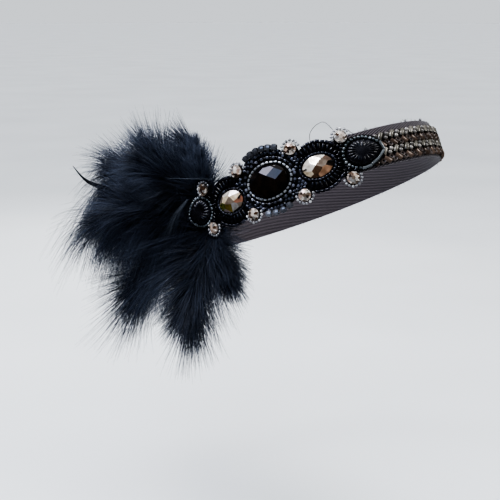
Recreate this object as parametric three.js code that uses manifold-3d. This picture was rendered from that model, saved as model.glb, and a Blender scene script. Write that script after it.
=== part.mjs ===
// Flapper headband: a ribbon loop with a beaded trim, a beaded motif of five stones and a fan of feathers.
// Millimetres, +Z up. The wearer faces -Y, and the motif is over the wearer's right temple, at -X.
import * as THREE from 'three';
import { mergeVertices } from 'three/addons/utils/BufferGeometryUtils.js';
import Module from 'manifold-3d';

const wasm = await Module();
wasm.setup();

const GAP = 0.3;
const STRING_SIDES = 8;
const BEAD_SIDES = 10;

// The loop round the head, measured on the ribbon's outer face. Its forehead side stands higher.
const LOOP_HALF_WIDTH = 76;
const LOOP_HALF_DEPTH = 96;
const LOOP_PITCH = 26;
const LOOP_STEPS = 72;
const LOOP_DIVISIONS = 720;

const RIBBON_WIDTH = 22;
const RIBBON_THICKNESS = 1.2;

// The beaded trim goes from behind the wearer's left ear, across the forehead, to under the motif.
const TRIM_WIDTH = 17;
const TRIM_THICKNESS = 2.2;
const TRIM_DROP = 1.4;
const TRIM_FROM = -150;
const TRIM_TO = 124;
const TRIM_STEPS = 56;

// The motif's middle, measured along the ribbon from the middle of the forehead.
const MOTIF_ALONG = 88;
const FELT_THICKNESS = 1.5;
const FELT_STEPS = 50;
const FELT_LIFT = GAP + TRIM_THICKNESS + GAP;
const BEAD_LIFT = FELT_LIFT + FELT_THICKNESS + GAP;
// Stones stand a little higher, so that their flat backs clear the curved felt.
const STONE_RAISE = 0.25;
const STONE_LIFT = BEAD_LIFT + STONE_RAISE;

// Places on the felt: x from the motif's middle towards the forehead, y up the ribbon.
const CENTRE = { x: -0.4, y: 0.7, halfLength: 11.5, halfWidth: 8.7, height: 6, sides: 16 };
const CENTRE_INNER_RING = { halfLength: 12.7, halfWidth: 9.9, radius: 0.85, steps: 24 };
const CENTRE_OUTER_RING = { halfLength: 14.6, halfWidth: 12.8, radius: 0.7, steps: 24 };
const CENTRE_LOBE = { halfLength: 19.5, halfWidth: 17 };
// A stone's profile has rows of the share of its half size and the share of its height.
const CENTRE_PROFILE = [
  { out: 0, up: 0 },
  { out: 1, up: 0 },
  { out: 1, up: 0.28 },
  { out: 0.84, up: 0.62 },
  { out: 0.56, up: 0.88 },
  { out: 0.3, up: 1 },
  { out: 0, up: 1 },
];

const CRYSTALS = [
  { side: 'front', x: 26.6, y: -1.1, facing: 1 },
  { side: 'back', x: -26.4, y: -1.8, facing: -1 },
];
const CRYSTAL = { halfLength: 8.5, halfWidth: 6, height: 4.6, sides: 12, holeAt: 6.6, holeRadius: 0.5 };
const CRYSTAL_PROFILE = [
  { out: 0, up: 0 },
  { out: 1, up: 0 },
  { out: 1, up: 0.25 },
  { out: 0.62, up: 0.8 },
  { out: 0.34, up: 1 },
  { out: 0, up: 1 },
];
const BEZEL_RING = { halfLength: 9.55, halfWidth: 7.1, radius: 0.7, steps: 20 };
const BUGLES = { count: 18, halfLength: 11.7, halfWidth: 10.3, reach: 125, radius: 0.95, sides: 6 };
const BUGLE_HALF_LENGTH = { atEnd: 0.8, atSide: 2.15 };
const BUGLE_VALLEY = { length: 0.86, height: 0.6 };
const EDGE_STRING = { halfLength: 14.2, halfWidth: 13.6, turn: 15, reach: 37, radius: 0.8, steps: 9 };
const CRYSTAL_LOBE = { halfLength: 14, halfWidth: 13.6 };

const PEARS = [
  { side: 'front', x: 49.6, y: -1, facing: 1 },
  { side: 'back', x: -50.6, y: 0.2, facing: -1 },
];
const PEAR_RING = { round: 9.2, point: 12.4, halfWidth: 8.4, radius: 0.9, steps: 22 };
const PEAR_NARROWING = 0.28;
const PEAR_INSET = 1.35;
const PEAR_MARGIN = 1.3;
const PEAR_HEIGHT = 4.6;
const PEAR_FLUTES = 16;
const PEAR_FLUTE_DEPTH = 0.12;
// The rows that are fluted dip in each valley.
const PEAR_PROFILE = [
  { out: 0, up: 0, fluted: false },
  { out: 1, up: 0, fluted: false },
  { out: 1, up: 0.3, fluted: false },
  { out: 0.9, up: 0.58, fluted: true },
  { out: 0.58, up: 0.9, fluted: false },
  { out: 0.25, up: 1, fluted: false },
  { out: 0, up: 1, fluted: false },
];

// Rondelles close the motif over and under the centre stone.
const RONDELLE_LINE = { halfLength: 19.2, halfWidth: 18, radius: 1.9, neck: 0.9, rings: 3 };
const RONDELLES = [
  { name: 'rondelles_upper', from: 58, to: 122, count: 6 },
  { name: 'rondelles_lower', from: -113, to: -62, count: 4 },
];

// Rhinestones in metal cups, each with a fan of seed beads on the side that fanAt points to, in degrees.
const RHINESTONES = [
  { x: 42.1, y: 10.3, fanAt: 95 },
  { x: 15.9, y: 13, fanAt: 100 },
  { x: -16.7, y: 12.5, fanAt: 98 },
  { x: -43, y: 11.2, fanAt: 110 },
  { x: 41.7, y: -13.3, fanAt: -85 },
  { x: 15.8, y: -13.8, fanAt: -95 },
  { x: -14.5, y: -13.7, fanAt: -90 },
  { x: -44, y: -11.8, fanAt: -90 },
];
const CUP_RADIUS = 3;
const RHINESTONE_HEIGHT = 3.6;
const RHINESTONE_PROFILE = [
  { out: 0, up: 0 },
  { out: 0.8, up: 0 },
  { out: 1, up: 0.56 },
  { out: 0.86, up: 0.64 },
  { out: 0.55, up: 1 },
  { out: 0, up: 1 },
];
const RHINESTONE_LOBE = 3.5;
const SEED_FAN = { halfLength: 4.5, halfWidth: 4.5, radius: 0.65, steps: 5, reach: 80 };

// Feathers fan out from one place under the motif's back end. Angles go up from straight back.
// Each has its place in the fan down to the angle in lowest, where the next one begins.
const PLUME = { x: -52, y: 0, quillLift: 1.4, quillFrom: 6, quillTo: 18 };
const QUILL = { radius: 0.7, steps: 6, bends: [0.35, 0.7, 1] };
const FEATHERS = [
  { name: 'top', angle: 103, lowest: 87, length: 44, halfWidth: 14, lean: 0, droop: 0, sag: 0 },
  { name: 'upper', angle: 67, lowest: 51, length: 54, halfWidth: 19, lean: 27, droop: 2, sag: 0.1 },
  { name: 'upper_back', angle: 36, lowest: 25, length: 94, halfWidth: 25, lean: 8, droop: 6, sag: 0.5 },
  { name: 'back', angle: 16, lowest: -6, length: 94, halfWidth: 25, lean: 22, droop: 7, sag: 0.45 },
  { name: 'low_back', angle: -15, lowest: -40, length: 110, halfWidth: 20, lean: 17, droop: 12, sag: 0.12 },
  { name: 'low', angle: -64, lowest: -80, length: 74, halfWidth: 19, lean: 22, droop: 2, sag: 0.1 },
  { name: 'tuft', angle: -95, length: 46, halfWidth: 14, lean: 2, droop: 0, sag: 0 },
];
// The vane's soft middle swells more on its outer face than towards the head.
const VANE = { from: 19, beyond: 0.07, width: 1.32, swell: 13, back: 3.5, sides: 10 };
const VANE_PROFILE = [
  { out: 0, up: 0 },
  { out: 0.45, up: 0.08 },
  { out: 0.9, up: 0.32 },
  { out: 1, up: 0.62 },
  { out: 0.78, up: 0.88 },
  { out: 0, up: 1 },
];
// Locks of barbs stand off the shaft in pairs, less open towards its tip, and bend down by their sag.
const LOCKS = { pairs: 4, from: 0.34, to: 0.84, opening: 68, closing: 24 };
const LOCK = { firstLength: 1.62, lastLength: 1.5, slimness: 0.22, thickness: 11, lift: 12, sides: 6 };
const LOCK_PROFILE = [
  { out: 0, up: 0 },
  { out: 1, up: 0.45 },
  { out: 0.7, up: 0.8 },
  { out: 0, up: 1 },
];

const LOOKS = {
  ribbon: { color: 0x3a3436, roughness: 0.85, metalness: 0 },
  trim: { color: 0x6e6258, roughness: 0.35, metalness: 0.8 },
  felt: { color: 0x0c0c0e, roughness: 0.95, metalness: 0 },
  blackGlass: { color: 0x06070a, roughness: 0.08, metalness: 0 },
  champagne: { color: 0xc9a878, roughness: 0.12, metalness: 0.6 },
  silverSeed: { color: 0xc8ccd0, roughness: 0.2, metalness: 0.9 },
  gunmetal: { color: 0x3a4250, roughness: 0.25, metalness: 0.8 },
  cup: { color: 0xd6cbb8, roughness: 0.2, metalness: 0.9 },
  feather: { color: 0x0a0d16, roughness: 0.7, metalness: 0 },
};

const radians = THREE.MathUtils.degToRad;

// Straight down, seen from the level loop before it is tipped.
const DOWN = new THREE.Vector3(0, Math.sin(radians(LOOP_PITCH)), -Math.cos(radians(LOOP_PITCH)));

const loopLine = new THREE.EllipseCurve(
  0, 0, LOOP_HALF_WIDTH, LOOP_HALF_DEPTH, 1.5 * Math.PI, -0.5 * Math.PI, true);
loopLine.arcLengthDivisions = LOOP_DIVISIONS;
const loopLength = loopLine.getLength();

const headband = new THREE.Group();
headband.rotation.x = -radians(LOOP_PITCH);

function addPiece(name, geometry, look) {
  const mesh = new THREE.Mesh(geometry, new THREE.MeshStandardMaterial(LOOKS[look]));
  mesh.name = name;
  headband.add(mesh);
}

// A place on the ribbon: along it from the middle of the forehead, up it, and out from its outer face.
function onRibbon(along, up, out) {
  const share = THREE.MathUtils.euclideanModulo(along / loopLength, 1);
  const point = loopLine.getPointAt(share);
  const tangent = loopLine.getTangentAt(share);
  return new THREE.Vector3(point.x - tangent.y * out, point.y + tangent.x * out, up);
}

function onMotif(x, y, out) {
  return onRibbon(MOTIF_ALONG - x, y, out);
}

// Moves every point of a geometry to where the given function sends it.
function reshape(geometry, move) {
  const position = geometry.getAttribute('position');
  const point = new THREE.Vector3();
  for (let i = 0; i < position.count; i += 1) {
    point.fromBufferAttribute(position, i);
    const moved = move(point);
    position.setXYZ(i, moved.x, moved.y, moved.z);
  }
  return geometry;
}

// Bends a flat piece, made with x towards the forehead, y up and z out, round the ribbon.
function layOnMotif(geometry, x, y, lift) {
  return reshape(geometry, (p) => onMotif(x + p.x, y + p.y, lift + p.z));
}

function ellipse(size) {
  return (angle) => new THREE.Vector2(size.halfLength * Math.cos(angle), size.halfWidth * Math.sin(angle));
}

// A pear that is round at one end and drawn to a blunt point at the other, which faces +x or -x.
function pear(inset, facing) {
  return (angle) => {
    const along = Math.cos(angle) * facing;
    const length = (along > 0 ? PEAR_RING.point : PEAR_RING.round) - inset;
    const halfWidth = (PEAR_RING.halfWidth - inset) * (1 - PEAR_NARROWING * Math.max(along, 0) ** 2);
    return new THREE.Vector2(length * along * facing, halfWidth * Math.sin(angle));
  };
}

// The outward direction square to an outline that runs counter-clockwise.
function outlineNormal(outline, angle) {
  const step = 0.01;
  const tangent = outline(angle + step).sub(outline(angle - step)).normalize();
  return new THREE.Vector2(tangent.y, -tangent.x);
}

function besideOutline(outline, angle, outward, height) {
  const foot = outline(angle).addScaledVector(outlineNormal(outline, angle), outward);
  return new THREE.Vector3(foot.x, foot.y, height);
}

// A closed string of beads round an outline, as a tube that lies on the felt.
function ringString(outline, { radius, steps }) {
  const middle = 10 * radius;
  const geometry = new THREE.TorusGeometry(middle, radius, STRING_SIDES, steps);
  return reshape(geometry, (p) => {
    const outward = Math.hypot(p.x, p.y) - middle;
    return besideOutline(outline, Math.atan2(p.y, p.x), outward, p.z + radius);
  });
}

// A string along part of an outline. The section function sizes each step's outward and upward half sizes.
function openString(outline, from, to, sides, steps, section) {
  const geometry = new THREE.CylinderGeometry(1, 1, 1, sides, steps);
  return reshape(geometry, (p) => {
    const share = p.y + 0.5;
    const angle = radians(THREE.MathUtils.lerp(from, to, share));
    const half = section(Math.round(share * steps), angle);
    return besideOutline(outline, angle, p.x * half.outward, p.z * half.upward + half.middle);
  });
}

// Joins coincident points and drops the triangles that close up where a profile meets its axis.
function closeUp(geometry) {
  const bare = new THREE.BufferGeometry();
  bare.setAttribute('position', geometry.getAttribute('position'));
  bare.setIndex(geometry.getIndex());
  const mergeWithin = 1e-4;
  const merged = mergeVertices(bare, mergeWithin);
  const corners = [...merged.getIndex().array];
  const kept = [];
  for (let i = 0; i < corners.length; i += 3) {
    const [a, b, c] = corners.slice(i, i + 3);
    if (a !== b && b !== c && c !== a) {
      kept.push(a, b, c);
    }
  }
  merged.setIndex(kept);
  return merged;
}

function solidOf(geometry) {
  const closed = closeUp(geometry);
  return new wasm.Manifold(new wasm.Mesh({
    numProp: 3,
    vertProperties: new Float32Array(closed.getAttribute('position').array),
    triVerts: new Uint32Array(closed.getIndex().array),
  }));
}

function geometryOf(solid) {
  const mesh = solid.getMesh();
  const geometry = new THREE.BufferGeometry();
  geometry.setAttribute('position', new THREE.BufferAttribute(mesh.vertProperties, 3));
  geometry.setIndex(new THREE.BufferAttribute(mesh.triVerts, 1));
  return geometry;
}

// A turned form of unit size whose axis is +y, from a profile's rows.
function spindle(profile, sides) {
  return new THREE.LatheGeometry(profile.map(({ out, up }) => new THREE.Vector2(out, up)), sides);
}

// The same form standing on the felt, with its axis along +z.
function turned(profile, sides) {
  return spindle(profile, sides).rotateX(Math.PI / 2);
}

function ribbon() {
  const outer = new THREE.Shape().absellipse(0, 0, LOOP_HALF_WIDTH, LOOP_HALF_DEPTH, 0, 2 * Math.PI);
  const inner = new THREE.Path().absellipse(
    0, 0, LOOP_HALF_WIDTH - RIBBON_THICKNESS, LOOP_HALF_DEPTH - RIBBON_THICKNESS, 0, 2 * Math.PI);
  outer.holes.push(inner);
  return new THREE.ExtrudeGeometry(outer, {
    depth: RIBBON_WIDTH, curveSegments: LOOP_STEPS / 2, bevelEnabled: false,
  }).translate(0, 0, -RIBBON_WIDTH / 2);
}

function beadedTrim() {
  const middle = (TRIM_FROM + TRIM_TO) / 2;
  const strip = new THREE.BoxGeometry(TRIM_TO - TRIM_FROM, TRIM_WIDTH, TRIM_THICKNESS, TRIM_STEPS, 1, 1);
  return reshape(strip, (p) => onRibbon(
    middle - p.x, p.y - TRIM_DROP, GAP + TRIM_THICKNESS / 2 + p.z));
}

// The felt's edge is the outer line of one lobe under each stone and rhinestone.
function feltLobes() {
  const lobes = [{ x: CENTRE.x, y: CENTRE.y, before: CENTRE_LOBE.halfLength, behind: CENTRE_LOBE.halfLength,
    halfWidth: CENTRE_LOBE.halfWidth }];
  for (const { x, y } of CRYSTALS) {
    lobes.push({ x, y, before: CRYSTAL_LOBE.halfLength, behind: CRYSTAL_LOBE.halfLength,
      halfWidth: CRYSTAL_LOBE.halfWidth });
  }
  for (const { x, y, facing } of PEARS) {
    const round = PEAR_RING.round + PEAR_MARGIN;
    const point = PEAR_RING.point + PEAR_MARGIN;
    lobes.push({ x, y, before: facing > 0 ? point : round, behind: facing > 0 ? round : point,
      halfWidth: PEAR_RING.halfWidth + PEAR_MARGIN });
  }
  for (const { x, y } of RHINESTONES) {
    lobes.push({ x, y, before: RHINESTONE_LOBE, behind: RHINESTONE_LOBE, halfWidth: RHINESTONE_LOBE });
  }
  return lobes;
}

function feltEdge(lobes, x, sign) {
  const heights = lobes.map((lobe) => {
    const reach = (x - lobe.x) / (x > lobe.x ? lobe.before : lobe.behind);
    return Math.abs(reach) < 1 ? sign * lobe.y + lobe.halfWidth * Math.sqrt(1 - reach * reach) : GAP;
  });
  return sign * Math.max(...heights);
}

function feltBacking() {
  const lobes = feltLobes();
  const front = Math.max(...lobes.map((lobe) => lobe.x + lobe.before)) - GAP;
  const back = Math.min(...lobes.map((lobe) => lobe.x - lobe.behind)) + GAP;
  const sheet = new THREE.BoxGeometry(1, 2, FELT_THICKNESS, FELT_STEPS, 1, 1);
  return reshape(sheet, (p) => {
    const x = THREE.MathUtils.lerp(back, front, p.x + 0.5);
    return onMotif(x, feltEdge(lobes, x, p.y), FELT_LIFT + FELT_THICKNESS / 2 + p.z);
  });
}

// An oval stone with a flat back, a girdle, rows of facets and a table.
function cutOval(stone, profile) {
  return turned(profile, stone.sides).scale(stone.halfLength, stone.halfWidth, stone.height);
}

// A sewn crystal has a thread hole through each end.
function sewOnCrystal() {
  const drillLength = 4 * CRYSTAL.height;
  let solid = solidOf(cutOval(CRYSTAL, CRYSTAL_PROFILE));
  for (const side of [-1, 1]) {
    const drill = new THREE.CylinderGeometry(
      CRYSTAL.holeRadius, CRYSTAL.holeRadius, drillLength, BEAD_SIDES);
    drill.rotateX(Math.PI / 2).translate(side * CRYSTAL.holeAt, 0, 0);
    solid = solid.subtract(solidOf(drill));
  }
  return geometryOf(solid);
}

// A pear cabochon with a smooth middle and flutes that run down to its edge.
function flutedPear(facing) {
  const sides = 2 * PEAR_FLUTES;
  const outline = pear(PEAR_INSET, facing);
  const flutedHeights = PEAR_PROFILE.filter((row) => row.fluted).map((row) => row.up);
  const nearly = 0.01;
  return reshape(turned(PEAR_PROFILE, sides), (p) => {
    const angle = Math.atan2(p.y, p.x);
    const foot = outline(angle).multiplyScalar(Math.hypot(p.x, p.y));
    const valley = Math.round(angle / (2 * Math.PI) * sides) % 2 !== 0;
    const fluted = flutedHeights.some((height) => Math.abs(height - p.z) < nearly);
    const dip = valley && fluted ? PEAR_FLUTE_DEPTH : 0;
    return new THREE.Vector3(foot.x, foot.y, (p.z - dip) * PEAR_HEIGHT);
  });
}

// Bugles lie side by side round a crystal, apart from the side that meets the centre stone's rings.
function bugleFan(facing) {
  const start = facing > 0 ? -BUGLES.reach : 180 - BUGLES.reach;
  const end = start + 2 * BUGLES.reach;
  const section = (step, angle) => {
    const { atEnd, atSide } = BUGLE_HALF_LENGTH;
    const length = THREE.MathUtils.lerp(atEnd, atSide, Math.sin(angle) ** 2);
    const low = step % 2 === 0;
    return {
      outward: low ? length * BUGLE_VALLEY.length : length,
      upward: low ? BUGLES.radius * BUGLE_VALLEY.height : BUGLES.radius,
      middle: BUGLES.radius,
    };
  };
  return openString(ellipse(BUGLES), start, end, BUGLES.sides, 2 * BUGLES.count + 1, section);
}

function rondelleString({ from, to, count }) {
  const { radius, neck, rings } = RONDELLE_LINE;
  return openString(ellipse(RONDELLE_LINE), from, to, BEAD_SIDES, rings * count, (step) => {
    const size = step % rings === 0 ? neck : radius;
    return { outward: size, upward: size, middle: radius };
  });
}

function plainString(line, middle) {
  const { radius, steps, reach } = line;
  const section = { outward: radius, upward: radius, middle: radius };
  return openString(ellipse(line), middle - reach, middle + reach, STRING_SIDES, steps, () => section);
}

// The string on the felt's upper or lower edge over a crystal, clear of the centre stone's rings.
function edgeString(facing, level) {
  return plainString(EDGE_STRING, level * (90 - facing * EDGE_STRING.turn));
}

// A round rhinestone with its table, held in a flared metal cup.
function cuppedRhinestone() {
  return turned(RHINESTONE_PROFILE, BEAD_SIDES).scale(CUP_RADIUS, CUP_RADIUS, RHINESTONE_HEIGHT);
}

// A feather's shaft: along the slot under the felt, then out, leaning away from the ribbon and drooping.
function featherShaft({ angle, length, lean, droop }) {
  const back = Math.cos(radians(angle));
  const up = Math.sin(radians(angle));
  const slot = (reach) => onMotif(PLUME.x - back * reach, PLUME.y + up * reach, PLUME.quillLift);
  const exit = slot(PLUME.quillTo);
  const outward = onMotif(PLUME.x, 0, 1).sub(onMotif(PLUME.x, 0, 0));
  const away = exit.clone().sub(slot(PLUME.quillTo - 1)).normalize();
  away.addScaledVector(outward, Math.tan(radians(lean))).normalize();
  const free = (share) => {
    const point = exit.clone().addScaledVector(away, (length - PLUME.quillTo) * share);
    point.z -= droop * share * share;
    return point;
  };
  const bends = [slot(PLUME.quillFrom), exit, ...QUILL.bends.map(free)];
  return { line: new THREE.CatmullRomCurve3(bends), outward };
}

// The direction along a shaft, the one across its vane and the one out of the vane's face.
function vaneAxes(line, outward, share) {
  const along = line.getTangentAt(share);
  const across = along.clone().cross(outward).normalize();
  return { along, across, facing: across.clone().cross(along) };
}

// The vane's soft middle: a full spindle that follows the shaft and ends a little beyond it.
function vaneBody({ line, outward }, { length, halfWidth }) {
  const start = (VANE.from - PLUME.quillFrom) / (length - PLUME.quillFrom);
  return reshape(spindle(VANE_PROFILE, VANE.sides), (p) => {
    const share = THREE.MathUtils.lerp(start, 1 + VANE.beyond, p.y);
    const onShaft = Math.min(share, 1);
    const { along, across, facing } = vaneAxes(line, outward, onShaft);
    const point = line.getPointAt(onShaft).addScaledVector(along, (share - onShaft) * length);
    point.addScaledVector(across, p.x * halfWidth * VANE.width);
    return point.addScaledVector(facing, p.z * (p.z > 0 ? VANE.swell : VANE.back));
  });
}

// One lock of barbs: a spindle from its foot on the shaft to its tip beyond the vane's edge.
function barbLock({ line, outward }, share, opening, length, sag) {
  const { along, across, facing } = vaneAxes(line, outward, share);
  const lift = radians(LOCK.lift);
  const direction = along.multiplyScalar(Math.cos(opening)).addScaledVector(across, Math.sin(opening));
  direction.multiplyScalar(Math.cos(lift)).addScaledVector(facing, Math.sin(lift));
  const side = direction.clone().cross(facing).normalize();
  const rise = side.clone().cross(direction);
  const foot = line.getPointAt(share);
  return reshape(spindle(LOCK_PROFILE, LOCK.sides), (p) => foot.clone()
    .addScaledVector(direction, p.y * length)
    .addScaledVector(side, p.x * LOCK.slimness * length)
    .addScaledVector(rise, p.z * LOCK.thickness / 2)
    .addScaledVector(DOWN, sag * length * p.y * p.y));
}

// The part of a feather on one side of the plane through the fan's root at an angle: +1 above it, -1 below.
function besideAngle(solid, angle, side) {
  const root = onMotif(PLUME.x, PLUME.y, PLUME.quillLift);
  const forward = onMotif(PLUME.x + 1, PLUME.y, PLUME.quillLift).sub(root);
  const upward = onMotif(PLUME.x, PLUME.y + 1, PLUME.quillLift).sub(root);
  const normal = forward.multiplyScalar(Math.sin(radians(angle)));
  normal.addScaledVector(upward, Math.cos(radians(angle))).normalize().multiplyScalar(side);
  return solid.trimByPlane(normal.toArray(), normal.dot(root) + GAP / 2);
}

// Each feather keeps to its own place in the fan, so that none run together.
function betweenNeighbours(solid, index) {
  const first = index === 0;
  const last = index === FEATHERS.length - 1;
  const below = first ? solid : besideAngle(solid, FEATHERS[index - 1].lowest, -1);
  return last ? below : besideAngle(below, FEATHERS[index].lowest, 1);
}

function feather(row, index) {
  const shaft = featherShaft(row);
  const section = new THREE.Shape().absarc(0, 0, QUILL.radius, 0, 2 * Math.PI);
  const quill = new THREE.ExtrudeGeometry(section, {
    steps: QUILL.steps, curveSegments: STRING_SIDES / 2, bevelEnabled: false, extrudePath: shaft.line,
  });
  let solid = solidOf(quill).add(solidOf(vaneBody(shaft, row)));
  for (let i = 0; i < LOCKS.pairs; i += 1) {
    const share = i / (LOCKS.pairs - 1);
    const foot = THREE.MathUtils.lerp(LOCKS.from, LOCKS.to, share);
    const opening = radians(THREE.MathUtils.lerp(LOCKS.opening, LOCKS.closing, share));
    const length = row.halfWidth * THREE.MathUtils.lerp(LOCK.firstLength, LOCK.lastLength, share);
    for (const side of [-1, 1]) {
      solid = solid.add(solidOf(barbLock(shaft, foot, side * opening, length, row.sag)));
    }
  }
  return geometryOf(betweenNeighbours(solid, index));
}

addPiece('ribbon_band', ribbon(), 'ribbon');
addPiece('beaded_trim', beadedTrim(), 'trim');
addPiece('felt_backing', feltBacking(), 'felt');

const centreStone = cutOval(CENTRE, CENTRE_PROFILE);
addPiece('stone_centre', layOnMotif(centreStone, CENTRE.x, CENTRE.y, STONE_LIFT), 'blackGlass');
const centreRings = [
  { name: 'seed_ring_centre', ring: CENTRE_INNER_RING, look: 'silverSeed' },
  { name: 'outer_ring_centre', ring: CENTRE_OUTER_RING, look: 'gunmetal' },
];
for (const { name, ring, look } of centreRings) {
  const beads = ringString(ellipse(ring), ring);
  addPiece(name, layOnMotif(beads, CENTRE.x, CENTRE.y, BEAD_LIFT), look);
}

for (const { side, x, y, facing } of CRYSTALS) {
  const lay = (geometry) => layOnMotif(geometry, x, y, BEAD_LIFT);
  addPiece(`crystal_${side}`, layOnMotif(sewOnCrystal(), x, y, STONE_LIFT), 'champagne');
  addPiece(`bezel_ring_${side}`, lay(ringString(ellipse(BEZEL_RING), BEZEL_RING)), 'gunmetal');
  addPiece(`bugle_fan_${side}`, lay(bugleFan(facing)), 'blackGlass');
  addPiece(`edge_string_upper_${side}`, lay(edgeString(facing, 1)), 'gunmetal');
  addPiece(`edge_string_lower_${side}`, lay(edgeString(facing, -1)), 'gunmetal');
}

for (const { side, x, y, facing } of PEARS) {
  const lay = (geometry) => layOnMotif(geometry, x, y, BEAD_LIFT);
  addPiece(`pear_${side}`, layOnMotif(flutedPear(facing), x, y, STONE_LIFT), 'blackGlass');
  addPiece(`seed_ring_pear_${side}`, lay(ringString(pear(0, facing), PEAR_RING)), 'silverSeed');
}

for (const row of RONDELLES) {
  addPiece(row.name, layOnMotif(rondelleString(row), CENTRE.x, CENTRE.y, BEAD_LIFT), 'gunmetal');
}

RHINESTONES.forEach(({ x, y, fanAt }, index) => {
  addPiece(`rhinestone_${index + 1}`, layOnMotif(cuppedRhinestone(), x, y, BEAD_LIFT), 'cup');
  addPiece(`seed_fan_${index + 1}`, layOnMotif(plainString(SEED_FAN, fanAt), x, y, BEAD_LIFT), 'silverSeed');
});

FEATHERS.forEach((row, index) => addPiece(`feather_${row.name}`, feather(row, index), 'feather'));

const part = new THREE.Group();
part.add(headband);

export default part;
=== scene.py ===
# %% [markdown]
# # A flapper headband
# A woven ribbon goes round the head. Across the forehead it carries a strip of herringbone beadwork. Over
# the temple sits a felt motif of cut stones and seed beads, and soft feathers fan out from under its back
# end. The frame already says where every piece is and how large. This lesson gives each piece its true
# surface.

# %% Load the frame
import math

import bpy
import numpy as np
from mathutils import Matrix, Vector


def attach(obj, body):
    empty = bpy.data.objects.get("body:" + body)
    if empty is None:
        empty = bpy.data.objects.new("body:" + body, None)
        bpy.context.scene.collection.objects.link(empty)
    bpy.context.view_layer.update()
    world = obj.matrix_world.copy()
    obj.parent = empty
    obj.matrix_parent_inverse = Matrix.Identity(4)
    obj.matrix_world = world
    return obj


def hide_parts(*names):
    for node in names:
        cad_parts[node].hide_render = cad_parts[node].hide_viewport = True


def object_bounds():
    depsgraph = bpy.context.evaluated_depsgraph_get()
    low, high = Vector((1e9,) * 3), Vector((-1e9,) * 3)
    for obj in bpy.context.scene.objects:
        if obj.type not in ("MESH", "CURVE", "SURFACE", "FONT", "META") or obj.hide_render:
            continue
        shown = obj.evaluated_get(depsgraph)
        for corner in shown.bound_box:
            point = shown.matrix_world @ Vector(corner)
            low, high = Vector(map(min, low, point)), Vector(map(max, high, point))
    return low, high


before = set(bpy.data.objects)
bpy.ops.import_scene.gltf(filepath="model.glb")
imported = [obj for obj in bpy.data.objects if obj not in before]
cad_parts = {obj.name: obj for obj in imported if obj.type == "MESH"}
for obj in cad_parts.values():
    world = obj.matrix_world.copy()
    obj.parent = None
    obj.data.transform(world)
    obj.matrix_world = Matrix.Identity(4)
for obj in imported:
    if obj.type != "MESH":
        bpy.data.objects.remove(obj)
cad_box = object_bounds()
print("frame box in mm:", [[round(c * 1000, 1) for c in corner] for corner in cad_box])

# %% [markdown]
# The camera comes first, so that every trial render has the photograph's view. It stands on the wearer's
# right, in front and a little above, and a long lens keeps the loop from looking stretched.

# %% Place the camera
CAMERA_AT = (-0.43377, -0.40283, 0.10966)
CAMERA_AZIMUTH = -44
CAMERA_ELEVATION = 14
LENS_MM = 67.56

bpy.ops.object.select_all(action="DESELECT")
bpy.ops.object.camera_add(
    location=CAMERA_AT,
    rotation=(math.radians(90 - CAMERA_ELEVATION), 0, math.radians(CAMERA_AZIMUTH)),
)
camera = bpy.context.object
camera.data.lens = LENS_MM
bpy.context.scene.camera = camera
print("camera lens:", camera.data.lens)

# %% [markdown]
# Everything on the band follows the ribbon, so we need one function that turns a place on the ribbon into
# a point: how far along it, how far up it and how far out of it. The loop is an ellipse, tipped so that
# the forehead side stands higher. Sizes are in millimetres until the very last step, which turns them
# into Blender's metres.

# %% Follow the ribbon
MM = 0.001
LOOP_HALF_WIDTH = 76.0
LOOP_HALF_DEPTH = 96.0
LOOP_PITCH = math.radians(26)
LOOP_SAMPLES = 7201

loop_turn = np.linspace(1.5, -0.5, LOOP_SAMPLES) * math.pi
loop_points = np.column_stack((LOOP_HALF_WIDTH * np.cos(loop_turn), LOOP_HALF_DEPTH * np.sin(loop_turn)))
loop_reach = np.concatenate(([0.0], np.cumsum(np.linalg.norm(np.diff(loop_points, axis=0), axis=1))))
LOOP_LENGTH = loop_reach[-1]


def tipped(points):
    """Points of the level loop, in mm, tipped to the way the band is worn, in metres."""
    x, y, z = np.moveaxis(np.asarray(points, float), -1, 0)
    cos, sin = math.cos(LOOP_PITCH), math.sin(LOOP_PITCH)
    return np.stack((x, y * cos + z * sin, z * cos - y * sin), axis=-1) * MM


def on_ribbon(along, up, out):
    """A place along the ribbon from mid-forehead, up it and out from its outer face."""
    along, up, out = np.broadcast_arrays(along, up, out)
    turn = np.interp(np.mod(along, LOOP_LENGTH), loop_reach, loop_turn)
    run_x = LOOP_HALF_WIDTH * np.sin(turn)
    run_y = -LOOP_HALF_DEPTH * np.cos(turn)
    run = np.hypot(run_x, run_y)
    x = LOOP_HALF_WIDTH * np.cos(turn) - run_y / run * out
    y = LOOP_HALF_DEPTH * np.sin(turn) + run_x / run * out
    return tipped(np.stack((x, y, up), axis=-1))


def on_band(flat):
    """Flat work for the ribbon, with x towards the wearer's left, y up and z out, laid round the loop."""
    return on_ribbon(-flat[:, 0], flat[:, 1], flat[:, 2])


MOTIF_ALONG = 88.0


def on_motif(flat):
    """Flat work for the motif, measured from the motif's middle, laid round the loop."""
    return on_ribbon(MOTIF_ALONG - flat[:, 0], flat[:, 1], flat[:, 2])


print("loop length in mm:", round(LOOP_LENGTH, 1))
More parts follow.
